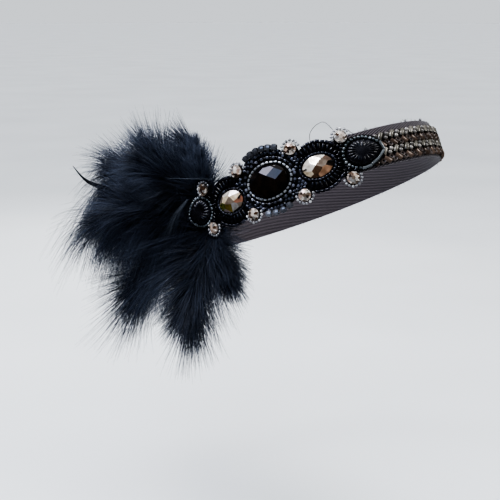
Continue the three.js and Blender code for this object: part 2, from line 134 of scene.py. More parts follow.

# %% [markdown]
# Beads and barbs come in hundreds. One of each is modelled, and its points and faces are then
# copied as arrays into a single mesh, which is far quicker than hundreds of objects. These helpers read a
# modelled shape, make the copies and build the joined mesh. Each copy can have its own tone, which the
# materials read.

# %% Helpers for joined meshes
def take_shape(piece):
    """Reads a modelled shape as points and faces, grouped by corner count, and removes its object."""
    mesh = piece.data
    points = np.empty(len(mesh.vertices) * 3)
    mesh.vertices.foreach_get("co", points)
    groups = {}
    for face in mesh.polygons:
        groups.setdefault(len(face.vertices), []).append(tuple(face.vertices))
    bpy.data.objects.remove(piece)
    return points.reshape(-1, 3), [np.array(group) for group in groups.values()]


def copies(shape, places, turns, sizes):
    """Copies of a shape, each scaled, turned about z and moved, as flat points and face groups."""
    points, groups = shape
    places, sizes = np.atleast_2d(places), np.atleast_2d(sizes)
    turns = np.broadcast_to(turns, len(places))[:, None]
    x, y, z = np.moveaxis(points[None] * sizes[:, None, :], -1, 0)
    cos, sin = np.cos(turns), np.sin(turns)
    moved = np.stack((x * cos - y * sin, x * sin + y * cos, z), axis=-1) + places[:, None, :]
    shift = (np.arange(len(places)) * len(points))[:, None, None]
    return moved.reshape(-1, 3), [(group[None] + shift).reshape(-1, group.shape[1]) for group in groups]


def stacked(parts):
    """Several sets of points and face groups as one, with the number of the part that each face is from."""
    points, groups, owners, first = [], [], [], 0
    for number, (part_points, part_groups) in enumerate(parts):
        points.append(part_points)
        for group in part_groups:
            groups.append(group + first)
            owners.append(np.full(len(group), number))
        first += len(part_points)
    return np.concatenate(points), groups, np.concatenate(owners)


def joined_piece(name, points, groups, materials, owners=None, smooth=True, **values):
    """One mesh object from arrays. Owners choose the material of each face; values are kept on its points."""
    mesh = bpy.data.meshes.new(name)
    mesh.vertices.add(len(points))
    mesh.vertices.foreach_set("co", np.asarray(points, np.float32).ravel())
    corners = np.concatenate([group.ravel() for group in groups]).astype(np.int32)
    counts = np.concatenate([np.full(len(group), group.shape[1]) for group in groups])
    mesh.loops.add(len(corners))
    mesh.loops.foreach_set("vertex_index", corners)
    mesh.polygons.add(len(counts))
    mesh.polygons.foreach_set("loop_start", (np.cumsum(counts) - counts).astype(np.int32))
    if owners is not None:
        mesh.polygons.foreach_set("material_index", owners.astype(np.int32))
    mesh.polygons.foreach_set("use_smooth", np.full(len(counts), smooth))
    for material in materials:
        mesh.materials.append(material)
    for key, numbers in values.items():
        layer = mesh.attributes.new(key, "FLOAT", "POINT")
        layer.data.foreach_set("value", np.asarray(numbers, np.float32))
    mesh.update(calc_edges=True)
    piece = bpy.data.objects.new(name, mesh)
    bpy.context.collection.objects.link(piece)
    return piece


def dress(piece, slot, *nodes):
    """Hides the solids that a piece stands for and lets it ride on the headband; its slot is not used."""
    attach(piece, "root")
    if nodes:
        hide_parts(*nodes)
    print(f"{piece.name}: {len(piece.data.polygons)} faces")


RIM_ANGLE = math.radians(55)


def sharpen_rims(piece):
    """Shades round sides smoothly and keeps cut ends crisp."""
    bpy.ops.object.select_all(action="DESELECT")
    piece.select_set(True)
    bpy.context.view_layer.objects.active = piece
    bpy.ops.object.shade_smooth_by_angle(angle=RIM_ANGLE)


def per_copy(shape, numbers):
    """A number for each copy, repeated for each of its points."""
    return np.repeat(numbers, len(shape[0]))


print("helpers for joined meshes are ready")

# %% [markdown]
# Materials are built from a few node recipes. Each starts from the Principled shader, and a noise or a
# stored value varies its colour and roughness, because no real bead, felt or ribbon is one flat colour.

# %% Helpers for materials
def new_finish(name, roughness, metallic=0.0, ior=1.5, coat=0.0, coat_roughness=0.05, sheen=0.0):
    """A material whose even values are set on the shader's own sockets."""
    material = bpy.data.materials.new(name)
    material.use_nodes = True
    shader = material.node_tree.nodes["Principled BSDF"]
    shader.inputs["Roughness"].default_value = roughness
    shader.inputs["Metallic"].default_value = metallic
    shader.inputs["IOR"].default_value = ior
    shader.inputs["Coat Weight"].default_value = coat
    shader.inputs["Coat Roughness"].default_value = coat_roughness
    shader.inputs["Sheen Weight"].default_value = sheen
    return material, material.node_tree.nodes, material.node_tree.links, shader


def add_ramp(nodes, stops):
    """A colour ramp from pairs of place and colour."""
    ramp = nodes.new("ShaderNodeValToRGB")
    while len(ramp.color_ramp.elements) < len(stops):
        ramp.color_ramp.elements.new(0.5)
    for element, (place, colour) in zip(ramp.color_ramp.elements, stops):
        element.position = place
        element.color = (*colour, 1)
    return ramp


def colour_from(nodes, links, shader, value, stops):
    """Lets a value pick the shader's colour from a ramp."""
    ramp = add_ramp(nodes, stops)
    links.new(value, ramp.inputs["Fac"])
    links.new(ramp.outputs["Color"], shader.inputs["Base Color"])


def stored(nodes, name):
    """A value or a colour that the mesh itself keeps under a name."""
    attribute = nodes.new("ShaderNodeAttribute")
    attribute.attribute_name = name
    return attribute


def multiplied(nodes, links, first, second):
    """The product of two colours."""
    mix = nodes.new("ShaderNodeMix")
    mix.data_type = "RGBA"
    mix.blend_type = "MULTIPLY"
    mix.inputs["Factor"].default_value = 1
    links.new(first, mix.inputs["A"])
    links.new(second, mix.inputs["B"])
    return mix.outputs["Result"]


def add_noise(nodes, links, scale_mm, detail=2.0):
    """Noise on the object's own coordinates, with features of about the given size."""
    place = nodes.new("ShaderNodeTexCoord")
    noise = nodes.new("ShaderNodeTexNoise")
    noise.inputs["Scale"].default_value = 1 / (scale_mm * MM)
    noise.inputs["Detail"].default_value = detail
    links.new(place.outputs["Object"], noise.inputs["Vector"])
    return noise


def vary_roughness(nodes, links, shader, noise, low, high):
    """Lets a noise move the roughness between two values."""
    spread = nodes.new("ShaderNodeMapRange")
    spread.inputs["To Min"].default_value = low
    spread.inputs["To Max"].default_value = high
    links.new(noise.outputs["Fac"], spread.inputs["Value"])
    links.new(spread.outputs["Result"], shader.inputs["Roughness"])


def add_bump(nodes, links, shader, height, depth_mm):
    """Turns a height between 0 and 1 into a bump of a real depth."""
    bump = nodes.new("ShaderNodeBump")
    bump.inputs["Strength"].default_value = 1
    bump.inputs["Distance"].default_value = depth_mm * MM
    links.new(height, bump.inputs["Height"])
    links.new(bump.outputs["Normal"], shader.inputs["Normal"])


def clouded_finish(name, stops, grain_mm, detail=2.0, gloss=None, bump_mm=0.0, **values):
    """A finish whose colour drifts with a noise. Its roughness and its height can follow the same noise."""
    material, nodes, links, shader = new_finish(name, **values)
    cloud = add_noise(nodes, links, grain_mm, detail)
    colour_from(nodes, links, shader, cloud.outputs["Fac"], stops)
    if gloss:
        vary_roughness(nodes, links, shader, cloud, *gloss)
    if bump_mm:
        add_bump(nodes, links, shader, cloud.outputs["Fac"], bump_mm)
    return material


print("recipes for finishes are ready")

# %% [markdown]
# The ribbon's cloth shows slanting threads. A wave texture draws them. It reads the ribbon's UV map,
# stretched so that one unit is one millimetre, so the threads keep the same width all the way round the
# loop.

# %% Weave for the ribbon
RIBBON_WIDTH = 22.0
WEAVE_PITCH, WEAVE_SLANT, WEAVE_DEPTH = 1.1, math.radians(68), 0.25
WEAVE_STOPS = [(0.15, (0.010, 0.008, 0.010)), (0.6, (0.044, 0.036, 0.042)), (1, (0.125, 0.105, 0.115))]


def ribbon_finish():
    """Charcoal threads in a slanting weave, read from the ribbon's UV map in millimetres."""
    material, nodes, links, shader = new_finish("charcoal_ribbon", 0.8, sheen=0.25)
    uv = nodes.new("ShaderNodeUVMap")
    to_mm = nodes.new("ShaderNodeMapping")
    to_mm.inputs["Scale"].default_value = (LOOP_LENGTH, RIBBON_WIDTH, 1)
    links.new(uv.outputs["UV"], to_mm.inputs["Vector"])
    slant = nodes.new("ShaderNodeMapping")
    slant.inputs["Rotation"].default_value = (0, 0, WEAVE_SLANT)
    links.new(to_mm.outputs["Vector"], slant.inputs["Vector"])
    threads = nodes.new("ShaderNodeTexWave")
    threads.inputs["Scale"].default_value = 1 / (math.pi * WEAVE_PITCH)
    threads.inputs["Distortion"].default_value = 1.2
    threads.inputs["Detail"].default_value = 3
    threads.inputs["Detail Scale"].default_value = 2.5
    links.new(slant.outputs["Vector"], threads.inputs["Vector"])
    colour_from(nodes, links, shader, threads.outputs["Fac"], WEAVE_STOPS)
    add_bump(nodes, links, shader, threads.outputs["Fac"], WEAVE_DEPTH)
    return material


charcoal_weave = ribbon_finish()
print("weave pitch in mm:", WEAVE_PITCH)

# %% [markdown]
# The ribbon is a plain woven band, 22 mm wide. A cylinder with no caps has the right shape and also comes
# with a UV map that runs round it and up it, which the weave follows. It is stretched to the ellipse,
# given its thickness by Solidify and softened at its edges by Bevel. Last, its points are tipped to the
# way it is worn.

# %% Ribbon
RIBBON_THICKNESS = 1.2
RIBBON_STEPS = 288
RIBBON_EDGE = 0.35


def start_from(primitive, name, **options):
    """Adds a primitive or a light with nothing else selected, and gives it a name."""
    bpy.ops.object.select_all(action="DESELECT")
    primitive(**options)
    piece = bpy.context.object
    piece.name = name
    return piece


def reshape(piece, kind, **settings):
    """Gives a piece a modifier, sets it and applies it."""
    modifier = piece.modifiers.new(kind.lower(), kind)
    for key, value in settings.items():
        setattr(modifier, key, value)
    bpy.context.view_layer.objects.active = piece
    bpy.ops.object.modifier_apply(modifier=modifier.name)


def move_points(piece, place):
    """Sends every point of a piece through a function, so that its place is in its mesh."""
    points = np.empty(len(piece.data.vertices) * 3)
    piece.data.vertices.foreach_get("co", points)
    piece.data.vertices.foreach_set("co", place(points.reshape(-1, 3)).astype(np.float32).ravel())
    piece.data.update()


ribbon = start_from(bpy.ops.mesh.primitive_cylinder_add, "ribbon", vertices=RIBBON_STEPS, radius=1,
                    depth=RIBBON_WIDTH, end_fill_type="NOTHING")
ribbon.scale = (LOOP_HALF_WIDTH, LOOP_HALF_DEPTH, 1)
bpy.ops.object.transform_apply(scale=True)
bpy.ops.object.mode_set(mode="EDIT")
bpy.ops.mesh.select_all(action="SELECT")
bpy.ops.mesh.subdivide(number_cuts=1)
bpy.ops.object.mode_set(mode="OBJECT")
reshape(ribbon, "SOLIDIFY", thickness=RIBBON_THICKNESS, offset=-1)
reshape(ribbon, "BEVEL", width=RIBBON_EDGE, segments=2, limit_method="ANGLE")
bpy.ops.object.shade_smooth_by_angle(angle=math.radians(40))
move_points(ribbon, tipped)
ribbon.data.materials.append(charcoal_weave)
dress(ribbon, "ribbon", "ribbon_band")

# %% [markdown]
# Three kinds of bead come next. A seed bead is a small ring of glass, so it starts as a torus. A bugle is
# a short cut tube: a cylinder whose ends are inset and pushed in to make the thread's hole, and whose
# rims are bevelled, because glass is never sharp there. A round bead is a sphere, pressed in at its two
# ends. All lie along x, the way they lie on a thread, and have a radius of 1.

# %% Model the beads
def select_parts(piece, mode, wanted):
    """Enters edit mode with only the wanted points, edges or faces selected."""
    bpy.ops.object.mode_set(mode="EDIT")
    bpy.ops.mesh.select_mode(type=mode)
    bpy.ops.mesh.select_all(action="DESELECT")
    bpy.ops.object.mode_set(mode="OBJECT")
    parts = {"VERT": piece.data.vertices, "EDGE": piece.data.edges, "FACE": piece.data.polygons}[mode]
    for part in parts:
        part.select = bool(wanted(part))
    bpy.ops.object.mode_set(mode="EDIT")


SEED_RING, SEED_TUBE = 0.62, 0.38
BUGLE_WALL, BUGLE_HOLE, BUGLE_BEVEL = 0.58, 0.3, 0.06
ROUND_PRESS = 0.7
NEAR_END = 0.49
ALONG_X = (0, math.radians(90), 0)


def seed_shape(sides, rings):
    """A ring of glass with a radius of 1 and a length of 1."""
    bead = start_from(bpy.ops.mesh.primitive_torus_add, "seed", major_segments=sides, minor_segments=rings,
                      major_radius=SEED_RING, minor_radius=SEED_TUBE, rotation=ALONG_X)
    bead.scale = (1, 1, 0.5 / SEED_TUBE)
    bpy.ops.object.transform_apply(rotation=True, scale=True)
    return take_shape(bead)


def bugle_shape(sides):
    """A cut tube with a radius of 1 and a length of 1."""
    bead = start_from(
        bpy.ops.mesh.primitive_cylinder_add, "bugle", vertices=sides, radius=1, depth=1, rotation=ALONG_X)
    bpy.ops.object.transform_apply(rotation=True)
    select_parts(bead, "FACE", lambda face: abs(face.normal.x) > 0.9)
    bpy.ops.mesh.inset(thickness=BUGLE_WALL)
    bpy.ops.transform.resize(value=(BUGLE_HOLE, 1, 1))
    bpy.ops.object.mode_set(mode="OBJECT")

    def on_rim(edge):
        ends = [bead.data.vertices[i].co for i in edge.vertices]
        return all(abs(end.x) > NEAR_END for end in ends) and ends[0].x * ends[1].x > 0

    select_parts(bead, "EDGE", on_rim)
    bpy.ops.mesh.bevel(offset=BUGLE_BEVEL, segments=1)
    bpy.ops.object.mode_set(mode="OBJECT")
    return take_shape(bead)


def round_shape(segments, rings):
    """A round bead, pressed in where the thread goes through, with a radius of 1 and a length of 1."""
    bead = start_from(bpy.ops.mesh.primitive_uv_sphere_add, "round_bead", segments=segments, ring_count=rings,
                      radius=1, rotation=ALONG_X)
    bead.scale = (1, 1, 0.5)
    bpy.ops.object.transform_apply(rotation=True, scale=True)
    select_parts(bead, "VERT", lambda point: abs(point.co.x) > NEAR_END)
    bpy.ops.transform.resize(value=(ROUND_PRESS, 1, 1))
    bpy.ops.object.mode_set(mode="OBJECT")
    return take_shape(bead)


seed = seed_shape(10, 6)
bugle = bugle_shape(8)
round_bead = round_shape(10, 7)
for shape_name, shape in (("seed", seed), ("bugle", bugle), ("round bead", round_bead)):
    print(shape_name, "length:", round(float(np.ptp(shape[0][:, 0])), 2), "points:", len(shape[0]))

# %% [markdown]
# Lined beads shine like metal through glass, so their finish is partly metal under a clear coat. Jet
# beads are plain black glass. Each bead keeps a tone of its own, so one string can hold lighter and
# darker beads. The colours below go from the darkest tone to the lightest.

# %% Finishes for beads
TONE_STOPS = {2: (0, 1), 3: (0, 0.6, 1), 4: (0, 0.2, 0.7, 1)}
TRIM_GRAIN = 1.5


def bead_finish(name, colours, roughness, metallic, coat, ior=1.5, grain_mm=0.5):
    """A bead's finish: its own tone picks a colour from dark to light, and a fine grain varies its gloss."""
    material, nodes, links, shader = new_finish(name, roughness, metallic, ior, coat)
    stops = list(zip(TONE_STOPS[len(colours)], colours))
    colour_from(nodes, links, shader, stored(nodes, "tone").outputs["Fac"], stops)
    vary_roughness(nodes, links, shader, add_noise(nodes, links, grain_mm), roughness * 0.7, roughness * 1.5)
    return material


silver_lining = bead_finish(
    "silver_lined_seed", ((0.20, 0.21, 0.23), (0.46, 0.48, 0.51), (0.86, 0.87, 0.88)), 0.14, 0.55, 0.8)
steel_coat = bead_finish(
    "steel_blue_bead", ((0.05, 0.054, 0.068), (0.14, 0.148, 0.185), (0.30, 0.31, 0.37)), 0.16, 0.4, 0.7)
teal_coat = bead_finish(
    "teal_silver_seed", ((0.05, 0.06, 0.065), (0.16, 0.185, 0.195), (0.46, 0.49, 0.51)), 0.13, 0.5, 0.8)
teal_bar = bead_finish(
    "teal_bar", ((0.08, 0.09, 0.095), (0.22, 0.238, 0.248), (0.50, 0.525, 0.535)), 0.12, 0.45, 0.9)
hematite = bead_finish(
    "hematite_round", ((0.22, 0.22, 0.23), (0.42, 0.42, 0.43), (0.80, 0.80, 0.81)), 0.13, 0.45, 0.9)
charcoal_cut = bead_finish(
    "charcoal_rondelle", ((0.044, 0.046, 0.053), (0.115, 0.12, 0.138), (0.24, 0.25, 0.285)), 0.1, 0.4, 0.8)
smoke_coat = bead_finish(
    "smoke_blue_bead", ((0.010, 0.011, 0.016), (0.030, 0.033, 0.045), (0.13, 0.135, 0.175)), 0.16, 0.4, 0.7)
slate_coat = bead_finish(
    "slate_blue_seed", ((0.012, 0.014, 0.020), (0.055, 0.06, 0.08), (0.16, 0.17, 0.22)), 0.15, 0.4, 0.7)
plum_coat = bead_finish(
    "plum_blue_bead", ((0.006, 0.0065, 0.010), (0.022, 0.023, 0.034), (0.10, 0.10, 0.13)), 0.18, 0.4, 0.5)
jet_glass = bead_finish("jet_bead", ((0.002, 0.002, 0.003), (0.006, 0.006, 0.009)), 0.18, 0.0, 0.2, 1.55)
beige_lining = bead_finish(
    "beige_lined_bar", ((0.075, 0.068, 0.055), (0.145, 0.132, 0.109), (0.26, 0.24, 0.205)), 0.24, 0.35, 0.7,
    grain_mm=TRIM_GRAIN)
bronze_lining = bead_finish(
    "bronze_lined_bar", ((0.042, 0.029, 0.022), (0.098, 0.067, 0.050), (0.20, 0.145, 0.112)), 0.26, 0.3, 0.7,
    grain_mm=TRIM_GRAIN)
# The darkest colour of these tubes is used only for the painted shade inside their holes.
taupe_lining = bead_finish(
    "taupe_lined_tube",
    ((0.004, 0.003, 0.003), (0.05, 0.037, 0.031), (0.11, 0.085, 0.074), (0.19, 0.155, 0.138)), 0.3, 0.2, 0.6)
bright_lining = bead_finish(
    "bright_lined_round", ((0.12, 0.112, 0.104), (0.28, 0.262, 0.24), (0.56, 0.53, 0.485)), 0.16, 0.4, 0.8)
print("bead finishes are ready")

# %% [markdown]
# The beads of the trim are sewn on a strip of dark cloth, which shows between them. A flat grid with many
# short steps can follow the loop, and Solidify makes it as thick as cloth.

# %% Cloth for the trim
TRIM_FROM, TRIM_TO = -150.0, 124.0
TRIM_LOW, TRIM_HIGH = -9.9, 7.1
TRIM_CLOTH_TOP, TRIM_CLOTH_THICKNESS = 0.6, 0.5
TRIM_STEPS = (150, 6)


def cloth_finish(name, dark, light):
    """Matt dark cloth with a fine grain."""
    return clouded_finish(
        name, [(0.3, dark), (0.75, light)], grain_mm=0.35, detail=4, bump_mm=0.3, roughness=0.9, sheen=0.03)


strip = start_from(bpy.ops.mesh.primitive_grid_add, "trim_strip", x_subdivisions=TRIM_STEPS[0],
                   y_subdivisions=TRIM_STEPS[1], size=1)
strip.scale = (TRIM_TO - TRIM_FROM, TRIM_HIGH - TRIM_LOW, 1)
strip.location = (-(TRIM_FROM + TRIM_TO) / 2, (TRIM_LOW + TRIM_HIGH) / 2, TRIM_CLOTH_TOP)
bpy.ops.object.transform_apply(location=True, scale=True)
reshape(strip, "SOLIDIFY", thickness=TRIM_CLOTH_THICKNESS, offset=-1)
trim_cloth = take_shape(strip)
print("trim cloth points:", len(trim_cloth[0]))

# %% [markdown]
# Four rows of beads lie on the cloth in a herringbone. The first and third rows lean one way and hold
# beige bars with pairs of round silver beads between them. The other two lean the other way and hold
# bronze bars with pairs of short tubes, which stand on end and show their holes, darkened inside with
# painted shade. No bead of handwork sits quite true, so each is shifted a little by chance, and each bar
# is also turned and sized a little by chance.

# %% Rows of the trim
TRIM_ROWS, TRIM_PITCH = 4, 3.7
TRIM_LEANS = (35, -48)
BAR_LENGTHS, BAR_RADIUS = (4.5, 5.0), 1.48
PAIR_STEP, PAIR_RADIUS, PAIR_LENGTH = 1.2, 1.38, 2.35
# Painted shade fills each standing tube's hole out to this radius; outside it the tone stays above the least
# tone.
HOLE_SHADE_RADIUS, TUBE_LEAST_TONE = 0.5, 0.2
TRIM_TONES, CLOTH_TONE = (2.2, 2.0), 0.5
TRIM_BEAD_HEIGHT = 1.5
TRIM_SHIFT, TRIM_TURN, BAR_LENGTH_SPREAD, BAR_RADIUS_SPREAD = 0.1, 0.07, 0.15, 0.05

bugle_on_end = (bugle[0][:, [2, 1, 0]] * (1, 1, -1), bugle[1])


def trim_row(row, chance):
    """The bars and the pairs of one row, as shape, places, turns and sizes."""
    odd = row % 2
    height = (TRIM_HIGH - TRIM_LOW) / TRIM_ROWS
    up = TRIM_HIGH - height * (row + 0.5)
    lean = math.radians(90 - TRIM_LEANS[odd])
    count = int((TRIM_TO - TRIM_FROM) / TRIM_PITCH) - 1
    x = -(TRIM_FROM + TRIM_PITCH * (np.arange(count) + 1))
    places = np.column_stack((x, np.full(count, up), np.full(count, TRIM_BEAD_HEIGHT)))
    places[:, :2] += chance.normal(0, TRIM_SHIFT, (count, 2))
    bars, pairs = places[0::2], places[1::2]
    step = np.array((math.cos(lean), math.sin(lean), 0)) * PAIR_STEP
    tubes = np.concatenate((pairs + step, pairs - step))
    turns = lean + chance.normal(0, TRIM_TURN, len(bars))
    lengths = chance.normal(BAR_LENGTHS[odd], BAR_LENGTH_SPREAD, len(bars))
    radii = chance.normal(BAR_RADIUS, BAR_RADIUS_SPREAD, len(bars))
    pair_size = (PAIR_RADIUS, PAIR_RADIUS, PAIR_LENGTH) if odd else (PAIR_LENGTH, PAIR_RADIUS, PAIR_RADIUS)
    return [
        (bugle, bars, turns, np.column_stack((lengths, radii, radii))),
        (bugle_on_end if odd else round_bead, tubes, lean, np.tile(pair_size, (len(tubes), 1))),
    ]


def beaded_trim():
    """The whole trim as one mesh, with a material for each kind of bead."""
    chance = np.random.default_rng(11)
    parts, tones, kinds = [trim_cloth], [np.full(len(trim_cloth[0]), CLOTH_TONE)], [0]
    for row in range(TRIM_ROWS):
        for kind, (shape, places, turns, sizes) in enumerate(trim_row(row, chance)):
            parts.append(copies(shape, places, turns, sizes))
            tone = per_copy(shape, chance.beta(*TRIM_TONES, len(places)))
            if shape is bugle_on_end:
                # Painted shade: points inside a standing tube's hole take tone 0, the darkest colour.
                painted_hole_shade = np.hypot(shape[0][:, 0], shape[0][:, 1]) < HOLE_SHADE_RADIUS
                outside = TUBE_LEAST_TONE + (1 - TUBE_LEAST_TONE) * tone
                tone = np.where(np.tile(painted_hole_shade, len(places)), 0, outside)
            tones.append(tone)
            kinds.append(1 + row % 2 if kind == 0 else 3 + row % 2)
    points, groups, owners = stacked(parts)
    materials = [
        cloth_finish("trim_cloth", (0.006, 0.005, 0.005), (0.022, 0.018, 0.017)),
        beige_lining, bronze_lining, bright_lining, taupe_lining,
    ]
    return joined_piece(
        "trim", on_band(points), groups, materials, np.array(kinds)[owners], tone=np.concatenate(tones))


trim = beaded_trim()
sharpen_rims(trim)
dress(trim, "trim_beads", "beaded_trim")

# %% [markdown]
# The felt behind the motif has one lobe under each stone, and its edge is the outer line of all the lobes
# together. So we first note where every stone sits, in millimetres along the ribbon and up it, from the
# motif's middle. A stone's third number says which way it faces, and a rhinestone's says at which angle
# its fan of beads lies.

# %% Places on the felt
CENTRE = (-0.4, 0.7)
CRYSTALS = {"front": (26.6, -1.1, 1), "back": (-26.4, -1.8, -1)}
PEARS = {"front": (49.6, -1.0, 1), "back": (-50.6, 0.2, -1)}
RHINESTONES = (
    (42.1, 10.3, 95), (15.9, 13.0, 100), (-16.7, 12.5, 98), (-43.0, 11.2, 110),
    (41.7, -13.3, -85), (15.8, -13.8, -95), (-14.5, -13.7, -90), (-44.0, -11.8, -90),
)
PEAR_ROUND, PEAR_POINT, PEAR_HALF_WIDTH, PEAR_NARROWING = 9.2, 12.4, 8.4, 0.28
PEAR_MARGIN = 1.3
CENTRE_LOBE, CRYSTAL_LOBE, RHINESTONE_LOBE = (19.5, 19.5, 17.0), (14.0, 14.0, 13.6), (3.5, 3.5, 3.5)
FELT_LEAST, FELT_END = 0.3, 0.3


def felt_lobes():
    """Each lobe's middle, its reach to the front and to the back, and its half width."""
    lobes = [(*CENTRE, *CENTRE_LOBE)]
    lobes += [(x, y, *CRYSTAL_LOBE) for x, y, facing in CRYSTALS.values()]
    for x, y, facing in PEARS.values():
        reach = (PEAR_POINT + PEAR_MARGIN, PEAR_ROUND + PEAR_MARGIN)[::facing]
        lobes.append((x, y, *reach, PEAR_HALF_WIDTH + PEAR_MARGIN))
    lobes += [(x, y, *RHINESTONE_LOBE) for x, y, fan_at in RHINESTONES]
    return lobes


def felt_edge(x, sign):
    """The height of the felt's upper or lower edge at each x."""
    heights = np.full_like(x, FELT_LEAST)
    for middle, level, before, behind, half_width in felt_lobes():
        reach = (x - middle) / np.where(x > middle, before, behind)
        lobe = sign * level + half_width * np.sqrt(np.clip(1 - reach ** 2, 0, None))
        heights = np.where(np.abs(reach) < 1, np.maximum(heights, lobe), heights)
    return sign * heights


felt_front = max(x + before for x, y, before, behind, half_width in felt_lobes()) - FELT_END
felt_back = min(x - behind for x, y, before, behind, half_width in felt_lobes()) + FELT_END
print("felt length in mm:", round(felt_front - felt_back, 1))

# %% [markdown]
# The felt is cut from a sheet. A flat grid is stretched to the outline, thickened by Solidify and given a
# soft rounded rim by Bevel. Then it is laid round the loop, as the real one was curved and sewn to the
# ribbon.

# %% Felt
FELT_BACK_FACE, FELT_FACE = 2.8, 4.3
FELT_STEPS = (240, 10)
FELT_RIM_WIDTH = 0.3


def to_felt_outline(points):
    """Points of a square sheet, sent to the felt's outline."""
    x = felt_back + (felt_front - felt_back) * (points[:, 0] + 1) / 2
    share = (points[:, 1] + 1) / 2
    y = felt_edge(x, -1) * (1 - share) + felt_edge(x, 1) * share
    return np.column_stack((x, y, np.full(len(x), FELT_FACE)))


felt = start_from(bpy.ops.mesh.primitive_grid_add, "felt", x_subdivisions=FELT_STEPS[0],
                  y_subdivisions=FELT_STEPS[1], size=2)
move_points(felt, to_felt_outline)
reshape(felt, "SOLIDIFY", thickness=FELT_FACE - FELT_BACK_FACE, offset=-1)
reshape(felt, "BEVEL", width=FELT_RIM_WIDTH, segments=2, limit_method="ANGLE", angle_limit=math.radians(60))
bpy.ops.object.shade_smooth_by_angle(angle=math.radians(50))
move_points(felt, on_motif)
felt.data.materials.append(cloth_finish("black_felt", (0.001, 0.001, 0.0012), (0.0035, 0.0035, 0.004)))
dress(felt, "felt", "felt_backing")

# %% [markdown]
# Bead strings are sewn round the stones. A string is given by an outline and two angles. We walk along
# the outline, set a bead at each even step and turn it the way the thread runs. Each bead is shifted,
# turned and sized a little by chance and gets a tone of its own.

# %% Walk along an outline
OUTLINE_SAMPLES = 1441
SEWN_SHIFT, SEWN_TURN, SEWN_SPREAD = 0.06, 0.06, 0.035
TONE_SPREAD = (2.2, 2.2)


def oval(half_length, half_width):
    """An oval outline as a function of angle."""
    return lambda angle: np.column_stack((half_length * np.cos(angle), half_width * np.sin(angle)))


def pear(inset, facing):
    """A pear outline that is round at one end and drawn to a blunt point at the other."""
    def outline(angle):
        along = np.cos(angle) * facing
        length = np.where(along > 0, PEAR_POINT, PEAR_ROUND) - inset
        half_width = (PEAR_HALF_WIDTH - inset) * (1 - PEAR_NARROWING * np.maximum(along, 0) ** 2)
        return np.column_stack((length * along * facing, half_width * np.sin(angle)))
    return outline


def thread_places(outline, start, end, pitch):
    """Even places along an outline between two angles in degrees: points, thread directions and angles."""
    angles = np.radians(np.linspace(start, end, OUTLINE_SAMPLES))
    line = outline(angles)
    reach = np.concatenate(([0.0], np.cumsum(np.linalg.norm(np.diff(line, axis=0), axis=1))))
    count = max(1, round(reach[-1] / pitch))
    marks = (np.arange(count) + 0.5) * reach[-1] / count
    run = np.gradient(line, axis=0)
    points = np.column_stack([np.interp(marks, reach, line[:, axis]) for axis in (0, 1)])
    turns = np.arctan2(np.interp(marks, reach, run[:, 1]), np.interp(marks, reach, run[:, 0]))
    return points, turns, np.interp(marks, reach, angles)


def sewn_beads(shape, points, turns, lengths, radius, middle, chance, lift=0.0):
    """Beads that lie on the felt round a stone, as points, face groups and tones."""
    count = len(points)
    places = np.column_stack((points + middle, np.full(count, FELT_FACE + radius + lift)))
    places[:, :2] += chance.normal(0, SEWN_SHIFT, (count, 2))
    radii = radius * chance.normal(1, SEWN_SPREAD, count)
    sizes = np.column_stack((np.broadcast_to(lengths, count), radii, radii))
    part = copies(shape, places, turns + chance.normal(0, SEWN_TURN, count), sizes)
    return part, per_copy(shape, chance.beta(*TONE_SPREAD, count))


def sewn_piece(name, slot, nodes, rows, materials, smooth=True):
    """One piece from rows of sewn beads, each row with a material of its own."""
    points, groups, owners = stacked([part for part, tones in rows])
    tones = np.concatenate([tones for part, tones in rows])
    piece = joined_piece(name, on_motif(points), groups, materials, owners, smooth, tone=tones)
    if smooth:
        sharpen_rims(piece)
    dress(piece, slot, *nodes)


print("beads at 2 mm steps round a 20 x 14 mm oval:", len(thread_places(oval(10, 7), 0, 360, 2)[0]))

# %% [markdown]
# Round the centre stone run a ring of silver-lined seeds and an outer ring in which steel-blue seeds take
# turns with jet ones. All strings up to the pears draw from one source of chance, so they are always sewn
# in this order.

# %% Rings round the centre stone
SILVER_LINE, SILVER_PITCH, SILVER_LENGTH, SILVER_RADIUS = oval(12.7, 9.9), 2.5, 1.95, 0.74
STEEL_LINE, STEEL_PITCH, STEEL_LENGTH, STEEL_RADIUS = oval(14.6, 12.6), 1.75, 1.65, 0.9
JET_LENGTH, JET_RADIUS = 1.55, 0.84

chance = np.random.default_rng(23)
places, turns, _ = thread_places(SILVER_LINE, 0, 360, SILVER_PITCH)
silver_row = sewn_beads(seed, places, turns, SILVER_LENGTH, SILVER_RADIUS, CENTRE, chance)
sewn_piece("silver_ring", "silver_seed", ["seed_ring_centre"], [silver_row], [silver_lining])

places, turns, _ = thread_places(STEEL_LINE, 0, 360, STEEL_PITCH)
steel_row = sewn_beads(seed, places[0::2], turns[0::2], STEEL_LENGTH, STEEL_RADIUS, CENTRE, chance)
jet_row = sewn_beads(seed, places[1::2], turns[1::2], JET_LENGTH, JET_RADIUS, CENTRE, chance)
sewn_piece("steel_ring", "gunmetal_bead", ["outer_ring_centre"], [steel_row, jet_row],
           [steel_coat, jet_glass])

# %% [markdown]
# Wherever felt would show between the strings, small seeds are sewn close together, slate-blue ones near
# the centre stone and jet ones elsewhere. We try places on a fine lattice, keep those on the felt that no
# string or stone covers, and lay a seed there.

